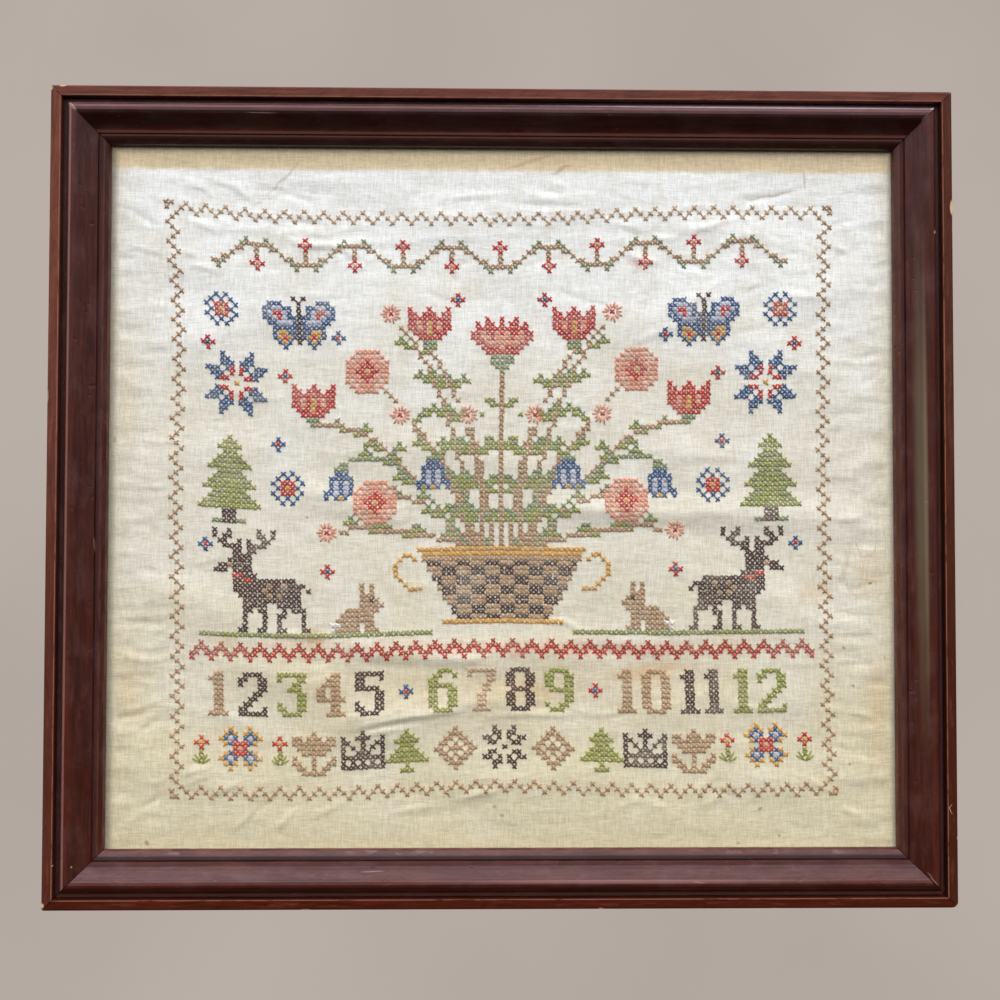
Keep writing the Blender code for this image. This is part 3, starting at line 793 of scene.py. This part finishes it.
def smooth_step(t):
    t = np.clip(t, 0, 1)
    return t * t * (3 - 2 * t)


def segment_lift(x, z, rows):
    """How far ridges along segments lift the linen, in metres, at points given from the frame's centre."""
    lift = np.zeros_like(x)
    for x1, z1, x2, z2, height, half_width in rows:
        run_x, run_z = (x2 - x1) * MM, (z2 - z1) * MM
        from_x, from_z = x - x1 * MM, z - z1 * MM
        t = np.clip((from_x * run_x + from_z * run_z) / (run_x ** 2 + run_z ** 2), 0, 1)
        off_line = np.hypot(from_x - run_x * t, from_z - run_z * t) / (half_width * MM)
        lift += height * MM * np.exp(-off_line ** 2)
    return lift


def wave_lift(x, z):
    return sum(height * (1 + np.sin(2 * pi * (x / across_x + z / across_z) + phase))
               for height, across_x, across_z, phase in WAVES)


def pucker_lift(x, z):
    """Short level ripples that run in from the two sides."""
    fade = smooth_step(1 - (LINEN_WIDTH / 2 - abs(x)) / PUCKER_REACH)
    lift = np.zeros_like(x)
    for side, (drift, ripple) in PUCKER_PHASES.items():
        here = (x > 0) if side == "right" else (x <= 0)
        uneven = 0.6 + 0.4 * np.sin(z / PUCKER_DRIFT + drift)
        lift += here * uneven * (1 + np.sin(2 * pi * z / PUCKER_SPACING + ripple))
    return PUCKER_HEIGHT * fade * lift


def wrinkle_lift(x, z, rows):
    """The same for curved wrinkles."""
    lift = np.zeros_like(x)
    for mid_x, mid_z, length, turn, bow, height, half_width in rows:
        from_x, from_z = x - mid_x * MM, z - mid_z * MM
        cosine, sine = cos(radians(turn)), sin(radians(turn))
        along = (from_x * cosine + from_z * sine) / (length / 2 * MM)
        taper = np.clip(1 - along ** 2, 0, 1)
        off_line = (from_z * cosine - from_x * sine - bow * MM * taper) / (half_width * MM)
        lift += height * MM * taper * np.exp(-off_line ** 2)
    return lift


def scattered_wrinkles():
    rng = np.random.default_rng(WRINKLE_SEED)
    rows = []
    for x_from, x_to, z_from, z_to, count, turn, spread, longest, highest in WRINKLE_FIELDS:
        for _ in range(count):
            length = rng.uniform(SHORTEST_WRINKLE, longest)
            height = rng.uniform(0.3, 1) * highest * (1 if rng.random() < RIDGE_SHARE else -1)
            rows.append((
                rng.uniform(x_from, x_to), rng.uniform(z_from, z_to), length, rng.normal(turn, spread),
                rng.normal(0, 0.06) * length, height, rng.uniform(1.5, 2.3),
            ))
    return rows


def edge_puckers():
    """Where each thread was pulled over the board's edge, a short ridge every centimetre or so."""
    rng = np.random.default_rng(EDGE_PUCKER_SEED)
    rows = []
    reach = LINEN_WIDTH / 2 / MM
    for side in (-1, 1):
        for z in np.arange(*EDGE_PUCKER_REACH, EDGE_PUCKER_SPACING):
            place = z + rng.normal(0, 1.5)
            length, tilt = rng.uniform(14, 34), rng.normal(0, 1.5)
            rows.append((side * reach, place, side * (reach - length), place + tilt, rng.uniform(0.15, 0.36),
                         rng.uniform(1.8, 2.8)))
    return rows


ALL_WRINKLES = WRINKLES + scattered_wrinkles()
STRAIGHT_CREASES = CREASES + edge_puckers()


def inside_border(x, z):
    return np.minimum(LINEN_WIDTH / 2 - abs(x), LINEN_HEIGHT / 2 - abs(z)) - FLAT_BORDER


def fold_lift(x, z):
    inside = inside_border(x, z)
    folds = smooth_step(inside / BORDER_FADE) * (segment_lift(x, z, FOLDS) + wave_lift(x, z))
    return folds + smooth_step(inside / PUCKER_FADE) * pucker_lift(x, z)


def measured_linen():
    """The front's lift on its own grid, which the stitches are laid on."""
    across = np.linspace(-LINEN_WIDTH / 2, LINEN_WIDTH / 2, LINEN_COLUMNS + 1)
    up = np.linspace(-LINEN_HEIGHT / 2, LINEN_HEIGHT / 2, LINEN_ROWS + 1)
    x, z = np.meshgrid(across, up)
    fine = segment_lift(x, z, STRAIGHT_CREASES) + wrinkle_lift(x, z, ALL_WRINKLES)
    return fold_lift(x, z) + smooth_step(inside_border(x, z) / PUCKER_FADE) * fine


LIFT = measured_linen()


def lift_at(x, z):
    """The linen's lift between the points of its grid."""
    column = np.clip((x / LINEN_WIDTH + 0.5) * LINEN_COLUMNS, 0, LINEN_COLUMNS - 1e-6)
    row = np.clip((z / LINEN_HEIGHT + 0.5) * LINEN_ROWS, 0, LINEN_ROWS - 1e-6)
    i, j = column.astype(int), row.astype(int)
    u, v = column - i, row - j
    below = LIFT[j, i] * (1 - u) + LIFT[j, i + 1] * u
    above = LIFT[j + 1, i] * (1 - u) + LIFT[j + 1, i + 1] * u
    return below * (1 - v) + above * v


def laid_grid(sheet, columns, rows, off_back, lift):
    """A grid of the linen's size, off_back in front of the frame's back, lifted by a function of x and z."""
    made = bmesh.ops.create_grid(sheet, x_segments=columns, y_segments=rows, size=0.5)["verts"]
    x = np.array([vert.co.x for vert in made]) * LINEN_WIDTH
    z = np.array([vert.co.y for vert in made]) * LINEN_HEIGHT
    for vert, across, up, rise in zip(made, x, z, lift(x, z)):
        vert.co = (CENTRE.x + across, -off_back - rise, CENTRE.z + up)


def lay_linen():
    """The embroidered linen as a thin closed sheet, its edges under the lip."""
    sheet = bmesh.new()
    laid_grid(sheet, LINEN_COLUMNS, LINEN_ROWS, LINEN_UNDERSIDE + LINEN_THICKNESS, lift_at)
    laid_grid(sheet, LINEN_COLUMNS // BACK_STEP, LINEN_ROWS // BACK_STEP, LINEN_UNDERSIDE, fold_lift)
    bmesh.ops.bridge_loops(sheet, edges=[edge for edge in sheet.edges if edge.is_boundary])
    bmesh.ops.recalc_face_normals(sheet, faces=sheet.faces)
    linen = object_from(sheet, "linen", linen_finish())
    linen.data.shade_smooth()
    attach(linen, BODY)
    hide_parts("sampler_cloth")
    return linen


# The chart. In a motif each letter is a thread and a dot is bare linen. These give a quarter, with the middle
# column and row last.
ROSETTE = "..b. .b.b b.rr .brg".split()
GREAT_ROSETTE = "..g.. .gbg. gblb. .gbrr ...rc".split()
EIGHT_POINT_STAR = "...b... ...bb.. ...bbb. bbb.br. .bbb.r. ..brr.. ......g".split()
ROUND_BLOSSOM = "..ccc .cpcc cpccr cccrr ccrrg".split()
# These give the left half, with the middle column last.
BUTTERFLY = """
    ......k.
    .bbb...k
    bbllbb.k
    blrrlb.k
    bblrlbbk
    .bblllbk
    ..bbbbbk
    ..bggbbk
    ..bgrgbk
    ...bgb.k
    ....b...
""".split()
CARNATION = """
    ...r..r
    .r.rr.r
    .rrrrrr
    rrcrrcr
    rrccrcc
    .rrcccc
    ..rrrrc
    ...rrrr
    ....sss
    ....sss
    .....ss
    ......s
""".split()
TULIP = "r...r rr.rr rrrrr rrcrg rrcrg .rrrg ..rrr ...ss ....s".split()
BELLFLOWER = "...s ..ss ..bb .bbb .blb .blb bblb b.bg".split()
PINE = """
    ......o
    .....oo
    ....ooo
    .....oo
    ....oso
    ...osoo
    ..ooooo
    ....oso
    ...osoo
    ..osooo
    .oooooo
    ...osoo
    ..osooo
    .osoooo
    ooooooo
    .....kk
    .....kk
    ...sskk
""".split()
BAND_TULIP = "....x xx.xx xxxxx .xxxx ..xxx x...x xx..x .xx.x ..xxx".split()
BAND_CROWN = "....x x..xx xx..x x.x.x x..xx xxxxx x.x.x xxxxx".split()
BAND_TREE = "....x ...xx ..xxx ...xx ..xxx .xxxx xxxxx ....x ...xx".split()
BAND_LOZENGE = "....x ...xx ..xx. .xx.x xx.xx .xx.x ..xx. ...xx ....x".split()
BAND_STAR = "..x.. ..xx. xx.x. .xx.. ....x .xx.. xx.x. ..xx. ..x..".split()
# These are whole.
SMALL_STAR = ".b. brb .b.".split()
SMALL_FLOWER = ".r. rgr .r.".split()
BERRY = ".r. rcr .r.".split()
STAG = """
    k..k.....k..k.......
    k.kk.....kk.k.......
    .kk..k.k..kk........
    ..kkkk.kkkk.........
    ....kk.kk...........
    ....kkkk............
    ...kkkkk............
    .kktkkkk............
    kkk.kkkk............
    ....rrkkk...........
    ....kkrrkkkkkkkkk...
    ....kkkkkkktkktkkkk.
    ....kkkkkktkkkkkkk.k
    .....kkkkkktktkkkk..
    ......kkkkkkkkkkkk..
    ......kkkkk..kkkkk..
    ......kk.kk...k.kkk.
    ......k...k..kk...k.
    ......k...k..k....k.
    ......k...k..k....k.
    .....kk..kk..kk...kk
""".split()
RABBIT = """
    ..t.t......
    ..t.t......
    ..ttt......
    .tktt......
    ttttt......
    .ttttttt...
    ..ttttttt..
    ..tttttttt.
    ..tt.ttttww
    .ttt.tttttw
""".split()
NUMERALS = {
    "0": ".xxxx. xx..xx xx..xx xx..xx xx..xx xx..xx xx..xx xx..xx .xxxx.".split(),
    "1": ".xx. xxx. .xx. .xx. .xx. .xx. .xx. .xx. xxxx".split(),
    "2": ".xxxx. xx..xx x...xx ....xx ...xx. ..xx.. .xx... xx...x xxxxxx".split(),
    "3": "xxxxxx x...xx ...xx. ..xxx. ....xx ....xx x...xx xx..xx .xxxx.".split(),
    "4": "...xx. ..xxx. .xxxx. xx.xx. xx.xx. xxxxxx ...xx. ...xx. ..xxxx".split(),
    "5": "xxxxxx xx...x xx.... xxxxx. ....xx ....xx x...xx xx..xx .xxxx.".split(),
    "6": "..xxx. .xx..x xx.... xxxxx. xx..xx xx..xx xx..xx xx..xx .xxxx.".split(),
    "7": "xxxxxx x...xx ....xx ...xx. ...xx. ..xx.. ..xx.. ..xx.. .xxxx.".split(),
    "8": ".xxxx. xx..xx xx..xx xx..xx .xxxx. xx..xx xx..xx xx..xx .xxxx.".split(),
    "9": ".xxxx. xx..xx xx..xx xx..xx .xxxxx ....xx ....xx x..xx. .xxx..".split(),
}
RED_FOR_BLUE = {"b": "r", "r": "b"}


class Chart:
    """Crosses by cell, and straight stitches from one point of the chart to another."""

    def __init__(self):
        self.crosses = {}
        self.straights = []

    def put(self, column, row, thread):
        self.crosses[(column, row)] = thread

    def put_if_bare(self, column, row, thread):
        self.crosses.setdefault((column, row), thread)

    def stamp(self, motif, column, row, flip=False, thread=None, swap=None):
        """Lays a motif, its top row's middle at a cell, perhaps flipped, in one thread or with swaps."""
        left = column - len(motif[0]) // 2
        for j, line in enumerate(motif):
            for i, letter in enumerate(line[::-1] if flip else line):
                if letter != ".":
                    self.put(left + i, row + j, thread or (swap or {}).get(letter, letter))

    def straight(self, start, end, thread):
        self.straights.append((*start, *end, thread))

    def stem(self, start, bend, end, thread):
        """A line of single crosses along a curve from start to end, drawn towards bend. Gives its cells."""
        cells = []
        for n in range(CURVE_STEPS + 1):
            t = n / CURVE_STEPS
            corners = zip(start, bend, end)
            cell = tuple(round((1 - t) ** 2 * a + 2 * t * (1 - t) * b + t * t * c) for a, b, c in corners)
            if cells[-1:] != [cell]:
                cells.append(cell)
        kept = cells[:1]
        for here, after in zip(cells[1:], cells[2:]):
            steps_aside = all(abs(new - old) == 1 for new, old in zip(after, kept[-1]))
            if not steps_aside:
                kept.append(here)
        kept += cells[-1:]
        for cell in kept:
            self.put_if_bare(*cell, thread)
        return kept

    def leaf(self, column, row, side, lift, length=4):
        """A leaf of slanting crosses that leaves its stem sideways and rises, or falls where lift is -1."""
        for n in range(length):
            c, r = column + side * (n + 1), row - lift * (n // 2)
            self.put_if_bare(c, r, "o")
            if 0 < n < length - 1:
                self.put_if_bare(c, r - lift, "s")

    def daisy(self, column, row):
        """A blossom of straight stitches that run out from a red cross."""
        cleared = range(-2, 3)
        for dc in cleared:
            for dr in cleared:
                self.crosses.pop((column + dc, row + dr), None)
        self.put(column, row, "r")
        petals, heart, reaches = 14, 0.75, (1.9, 2.3)
        for n in range(petals):
            turn = 2 * pi * n / petals
            ends = [[column + out * cos(turn), row + out * sin(turn)] for out in (heart, reaches[n % 2])]
            self.straight(*ends, "c")


def across(half):
    return [row + row[-2::-1] for row in half]


def four_ways(quarter):
    top = across(quarter)
    return top + top[-2::-1]


def border_chart():
    """A zigzag, four crosses to a wave, which turns each corner on a slant, with three crosses outside."""
    chart = Chart()
    swing = (0, 1, 2, 1)
    corner = len(swing)
    for c in range(corner, COLUMNS - corner + 1):
        chart.put(c, swing[c % corner], "f")
        chart.put(c, ROWS - swing[c % corner], "t")
    for r in range(corner, ROWS - corner + 1):
        chart.put(swing[r % corner], r, "t")
        chart.put(COLUMNS - swing[r % corner], r, "t")
    for far_c in (0, COLUMNS):
        for far_r in (0, ROWS):
            slant = [(n, corner - n) for n in range(1, corner)]
            for dc, dr in slant + [(0, 0), (1, 0), (0, 1)]:
                chart.put(abs(far_c - dc), abs(far_r - dr), "t")
    return chart


def divider_chart():
    """Two zigzags on each other, the upper one duller."""
    chart = Chart()
    swing = (2, 1, 0, 1)
    first, top = 4, 89
    for c in range(first, COLUMNS - first + 1):
        drop = swing[(c - first) % len(swing)]
        chart.put(c, top + drop, "m")
        chart.put(c, top + 1 + drop, "r")
    return chart


def numbers_chart():
    """One to twelve, three threads in turn, with a small star after five and after nine."""
    chart = Chart()
    top, gap, star_width = 95, 2, 5
    row = "1 2 3 4 5 * 6 7 8 9 * 10 11 12".split()
    threads = iter("tkotkofkotko")

    def width(number):
        return star_width if number == "*" else sum(len(NUMERALS[digit][0]) + 1 for digit in number) - 1
    column = (COLUMNS - sum(width(number) + gap for number in row) + gap) // 2
    for place, number in enumerate(row):
        if number == "*":
            swap = RED_FOR_BLUE if place > len(row) // 2 else None
            chart.stamp(SMALL_STAR, column + star_width // 2, top + 3, swap=swap)
        else:
            left, thread = column, next(threads)
            for digit in number:
                motif = NUMERALS[digit]
                chart.stamp(motif, left + len(motif[0]) // 2, top, thread=thread)
                left += len(motif[0]) + 1
        column += width(number) + gap
    return chart


def band_chart():
    """Nine small motifs in the numerals' threads, with a rosette between two flowers at each end."""
    chart = Chart()
    top, step = 107, 9.75
    motifs = [(BAND_TULIP, "t"), (BAND_CROWN, "k"), (BAND_TREE, "o"), (BAND_LOZENGE, "t"), (BAND_STAR, "k")]
    for n, (motif, thread) in enumerate(motifs):
        out = (len(motifs) - 1 - n) * step
        for side in (-1, 1):
            chart.stamp(across(motif), round(MIDDLE + side * out), top, thread=thread)
    for outer, inner, middle in ((6, 22, 14), (COLUMNS - 6, COLUMNS - 22, COLUMNS - 14)):
        chart.stamp(four_ways(GREAT_ROSETTE), middle, top - 1)
        for c in (outer, inner):
            chart.stamp(SMALL_FLOWER, c, top + 1)
            chart.put(c, top + 4, "o")
            chart.put(c, top + 5, "o")
            for side in (-1, 1):
                for reach, rise in ((1.4, 2.0), (1.9, 1.1)):
                    chart.straight((c, top + 6.3), (c + side * reach, top + 6.3 - rise), "o")
    return chart


def lay_garland(chart):
    """A waving vine with leaves and berries, across the top of the field."""
    wave, swing, level = 20, 2.4, 9
    for c in range(9, COLUMNS - 8):
        phase = (c - MIDDLE) % wave
        r = round(level + swing * cos(2 * pi * phase / wave))
        chart.put(c, r, "t")
        if phase in (wave // 4, 3 * wave // 4):
            side = 1 if phase == wave // 4 else -1
            chart.leaf(c, r - 1, side, 1)
            chart.leaf(c, r + 1, -side, -1)
        if phase in (0, wave // 2):
            outwards = -1 if phase == 0 else 1
            chart.put(c, r + outwards, "t")
            chart.put(c, r + 2 * outwards, "t")
            chart.stamp(BERRY, c, r + 4 * outwards - 1)


def lay_basket(chart, top):
    """A woven basket with a gilt rim and foot and two looped handles."""
    depth, half_rim, slope = 15, 17, 0.55
    for j in range(depth):
        half = round(half_rim - j * slope)
        for i in range(-half, half + 1):
            woven = "t" if (i // 3 + j // 2) % 2 else "k"
            chart.put(MIDDLE + i, top + j, "g" if j < 2 else "t" if j == 2 else woven)
    for i in range(-12, 13):
        chart.put(MIDDLE + i, top + depth, "g")
    handle = [(18, 2), (19, 1), (20, 1), (21, 2), (22, 3), (22, 4), (22, 5), (21, 6), (20, 7), (19, 8),
              (18, 8), (17, 8)]
    for side in (-1, 1):
        for out, down in handle:
            chart.put(MIDDLE + side * out, top + down, "g")


def lay_bouquet(chart):
    """Sprays that fan out of the basket, the same on both sides."""
    top = 70
    sprays = [
        # end and bend, in columns from the middle and rows, flower, thread of the stem
        ((15, 28), (3, 46), "tulip", "t"),
        ((28, 33), (12, 46), "round", "t"),
        ((33, 52), (22, 46), "bell", "s"),
        ((26, 60), (18, 56), "round", "t"),
        ((14, 50), (6, 58), "bell", "s"),
        ((39, 44), (24, 42), "tulip", "t"),
        ((7, 42), (3, 54), "daisy", "t"),
        ((21, 42), (9, 50), "daisy", "t"),
        ((36, 66), (26, 64), "daisy", "t"),
        ((23, 21), (10, 34), "daisy", "t"),
    ]
    flowers = {"tulip": (across(TULIP), -8), "round": (four_ways(ROUND_BLOSSOM), -4),
               "bell": (across(BELLFLOWER), 0)}
    first_leaf, leaf_step = 6, 7
    chart.stem((MIDDLE, top - 1), (MIDDLE, 50), (MIDDLE, 34), "t")
    for r in (58, 48, 40):
        for side in (-1, 1):
            chart.leaf(MIDDLE, r, side, 1, 3)
    chart.stamp(across(CARNATION), MIDDLE, 22)
    for side in (-1, 1):
        for (out, row), (bend_out, bend_row), flower, thread in sprays:
            start, bend = (MIDDLE + side * (1 + out // 5), top - 1), (MIDDLE + side * bend_out, bend_row)
            end = (MIDDLE + side * out, row)
            for c, r in chart.stem(start, bend, end, thread)[first_leaf:-5:leaf_step]:
                chart.leaf(c, r, side, 1)
                chart.leaf(c, r + 1, -side, 1)
            if flower == "daisy":
                chart.daisy(*end)
            else:
                motif, rise = flowers[flower]
                chart.stamp(motif, end[0], row + rise)
    lay_basket(chart, top)


def lay_sides(chart):
    """Butterfly, rosettes, star, pine, stag and rabbit on each side, small stars between, and the ground."""
    # columns from the middle, row, and whether red and blue change places
    stars = [(45, 33, True), (34, 25, False), (61, 68, False), (9, 17, True), (36, 73, True), (46, 47, False),
             (61, 27, True)]
    placings = [
        # motif, columns from the middle, row, and the side on which it is flipped
        (across(BUTTERFLY), 42, 18, 0), (four_ways(ROSETTE), 58, 18, 0),
        (four_ways(EIGHT_POINT_STAR), 55, 30, 0), (across(PINE), 56, 47, 0),
        (STAG, 49, FIELD_FLOOR - len(STAG), 1), (four_ways(ROSETTE), 44, 54, 0),
        (RABBIT, 30, FIELD_FLOOR - len(RABBIT), -1),
    ]
    for side in (-1, 1):
        for motif, out, row, flipped in placings:
            chart.stamp(motif, MIDDLE + side * out, row, flip=side == flipped)
        for out, row, red in stars:
            chart.stamp(SMALL_STAR, MIDDLE + side * out, row, swap=RED_FOR_BLUE if red else None)
    for c in range(6, COLUMNS - 5):
        if abs(c - MIDDLE) > 14:
            chart.put_if_bare(c, FIELD_FLOOR, "o" if c % 2 else "s")


def field_chart():
    chart = Chart()
    lay_garland(chart)
    lay_bouquet(chart)
    lay_sides(chart)
    return chart


# The stitches


def on_linen(points):
    """Where points of the chart lie on the pulled linen, in metres from the frame's centre."""
    u, v = points[:, 0] / COLUMNS, points[:, 1] / ROWS

    def edge(row, share):
        return np.interp(share, *zip(*row))
    x = edge(LEFT_EDGE, v) * (1 - u) + edge(RIGHT_EDGE, v) * u
    z = edge(TOP_EDGE, u) * (1 - v) + edge(BOTTOM_EDGE, u) * v
    return np.stack([x * MM, z * MM], 1)


def ply_faces(count):
    """The faces of count plies, each two tips and three rings, as triangles and as quads."""
    ring = np.arange(PLY_SIDES)
    after = (ring + 1) % PLY_SIDES
    rings = len(RINGS)
    last = 1 + (rings - 1) * PLY_SIDES
    tip = 1 + rings * PLY_SIDES
    start_tip = np.stack([0 * ring, 1 + after, 1 + ring], 1)
    tips = [start_tip, np.stack([0 * ring + tip, last + ring, last + after], 1)]
    firsts = (1 + k * PLY_SIDES for k in range(rings - 1))
    bands = [np.stack([first + ring, first + after, first + PLY_SIDES + after, first + PLY_SIDES + ring], 1)
             for first in firsts]
    starts = (np.arange(count) * (tip + 1))[:, None, None]
    triangles = (starts + np.concatenate(tips)[None]).reshape(-1, 3)
    quads = (starts + np.concatenate(bands)[None]).reshape(-1, 4)
    return triangles.tolist() + quads.tolist()


def aside_of(start, end):
    """A unit's step square to each stitch, in the plane of the linen."""
    along = end - start
    along /= np.linalg.norm(along, axis=1, keepdims=True)
    return np.stack([-along[:, 1], along[:, 0]], 1)


def ply_points(start, end, crest):
    """Points of plies that rise out of the linen at start, arch over it and go back in at end."""
    aside = aside_of(start, end)

    def surface(flat):
        return LINEN_UNDERSIDE + LINEN_THICKNESS + lift_at(flat[:, 0], flat[:, 1])

    def point(flat, off_back):
        return np.stack([CENTRE.x + flat[:, 0], -off_back, CENTRE.z + flat[:, 1]], 1)
    points = [point(start, surface(start) - TIP_DEPTH)]
    for share, rise, swell in RINGS:
        middle = start + (end - start) * share
        height = surface(middle) + rise + crest * sin(pi * share)
        for n in range(PLY_SIDES):
            turn = 2 * pi * n / PLY_SIDES
            flat = middle + aside * (PLY_RADIUS * swell * cos(turn))
            points.append(point(flat, height + PLY_RADIUS * swell * sin(turn)))
    points.append(point(end, surface(end) - TIP_DEPTH))
    return np.stack(points, 1).reshape(-1, 3)


def sewn(name, start, end, crest, material):
    """One mesh of stitches, two plies to each, from arrays of their ends."""
    aside = aside_of(start, end) * PLY_OFFSET
    starts = np.concatenate([start + aside, start - aside])
    ends = np.concatenate([end + aside, end - aside])
    points = ply_points(starts, ends, np.concatenate([crest, crest]))
    mesh = bpy.data.meshes.new(name)
    mesh.from_pydata(points.tolist(), [], ply_faces(len(starts)))
    mesh.shade_smooth()
    mesh.materials.append(material)
    made = in_scene(bpy.data.objects.new(name, mesh))
    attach(made, BODY)
    return made


def stitches_of(chart, thread, rng):
    """The ends and crests of one thread's stitches: the two arms of each cross, then the straight ones."""
    cells = [cell for cell, letter in chart.crosses.items() if letter == thread]
    cells = np.array(cells, float).reshape(-1, 2)
    straights = [row[:4] for row in chart.straights if row[4] == thread]
    straights = np.array(straights, float).reshape(-1, 4)
    falling = np.array([ARM_REACH, ARM_REACH])
    rising = falling * (1, -1)
    start = np.concatenate([cells - rising, cells - falling, straights[:, :2]])
    end = np.concatenate([cells + rising, cells + falling, straights[:, 2:]])
    crest = np.repeat([0, OVER, OVER / 2], [len(cells), len(cells), len(straights)])
    laid = [on_linen(ends) + rng.normal(0, UNEVEN, ends.shape) for ends in (start, end)]
    return *laid, crest * rng.uniform(0.8, 1.25, len(crest))


def sew_everything():
    """Each part of the sampler in each of its threads, as a piece of its own."""
    rng = np.random.default_rng(STITCH_SEED)
    finishes = {letter: thread_finish(*thread) for letter, thread in THREADS.items()}
    charts = {"border": border_chart(), "divider": divider_chart(), "field": field_chart(),
              "numbers": numbers_chart(), "band": band_chart()}
    made = []
    for part, chart in charts.items():
        used = set(chart.crosses.values()) | {row[4] for row in chart.straights}
        for letter, (name, _) in THREADS.items():
            if letter in used:
                made.append(sewn(f"{part}_{name}", *stitches_of(chart, letter, rng), finishes[letter]))
    return made


# Light and backdrop

# A window high in front lights the linen, and the varnish mirrors it: from below, from level and from above
ROOM_BELOW, ROOM_ABOVE = (0.07, 0.055, 0.045, 1), (2.10, 2.10, 2.10, 1)
MIRRORED_BELOW, MIRRORED_LEVEL = (0.02, 0.015, 0.015, 1), (0.16, 0.13, 0.12, 1)
MIRRORED_ABOVE = (3.1, 2.6, 2.9, 1)
MIRRORED_RIGHT = (0.6, 0.6, 0.6, 1)  # its share on the right of what it is on the left
BACKDROP_DARK, BACKDROP_PALE = (177, 167, 158), (185, 175, 166)
FLOOR_DARK, FLOOR_PALE = (142, 138, 133), (150, 146, 141)
KEY_FROM_NORMAL = radians(64)  # how far above the face's normal the key light stands
KEY_ASIDE = radians(-6)
KEY_STRENGTH = 1.0
KEY_ANGLE = radians(8)
KEY_COLOUR = (0.95, 0.98, 1.0)
FLOOR_DROP, FLOOR_SIZE = 1.1, 3.2


def lay_floor():
    """A pale floor, well below the sampler, which hangs on a wall. It adds no light to it."""
    made, place, shader = new_material("floor")
    feed(shader, {"Base Color": mixed(noise(place, 3, 3), FLOOR_DARK, FLOOR_PALE)})
    sheet = bmesh.new()
    bmesh.ops.create_grid(sheet, x_segments=1, y_segments=1, size=FLOOR_SIZE / 2)
    floor = object_from(sheet, "floor", made)
    floor.location = (CENTRE.x, 0, FRAME_LOW.z - FLOOR_DROP)
    floor.visible_diffuse = False
    floor.visible_glossy = False


def light_room():
    """A plain backdrop for the camera, and light from above for everything else."""
    world = bpy.data.worlds.new("room")
    bpy.context.scene.world = world
    world.use_nodes = True
    nodes = world.node_tree.nodes
    direction = nodes.new("ShaderNodeTexCoord").outputs["Generated"]
    aside, _, up = add("SeparateXYZ", {0: direction}).outputs
    room = mixed(eased(up, -0.15, 0.35), ROOM_BELOW, ROOM_ABOVE)
    lower = mixed(eased(up, -0.15, 0.15), MIRRORED_BELOW, MIRRORED_LEVEL)
    mirrored = mixed(eased(up, 0.15, 0.95), lower, MIRRORED_ABOVE)
    dimmer = mixed(eased(aside, -1, 1, 1, 0), MIRRORED_RIGHT, (1, 1, 1, 1))
    mirrored = mixed(1, mirrored, dimmer, "MULTIPLY")
    backdrop = mixed(eased(noise(direction, 3, 3), 0.3, 0.7), BACKDROP_DARK, BACKDROP_PALE)
    ray = nodes.new("ShaderNodeLightPath").outputs
    light = mixed(ray["Is Glossy Ray"], room, mirrored)
    feed(nodes["Background"], {"Color": mixed(ray["Is Camera Ray"], light, backdrop), "Strength": 1})

    key = in_scene(bpy.data.objects.new("key_light", bpy.data.lights.new("key_light", "SUN")))
    key.data.energy = KEY_STRENGTH
    key.data.angle = KEY_ANGLE
    key.data.color = KEY_COLOUR
    key.visible_glossy = False
    to_light = Vector((sin(KEY_ASIDE), -cos(KEY_FROM_NORMAL), sin(KEY_FROM_NORMAL)))
    key.rotation_mode = "QUATERNION"
    key.rotation_quaternion = to_light.to_track_quat("Z", "Y")


def main():
    hang_camera()
    finish_frame()
    glue_mitres()
    linen = lay_linen()
    stitches = sew_everything()
    lay_floor()
    light_room()
    bpy.context.scene.view_settings.view_transform = "Standard"


main()
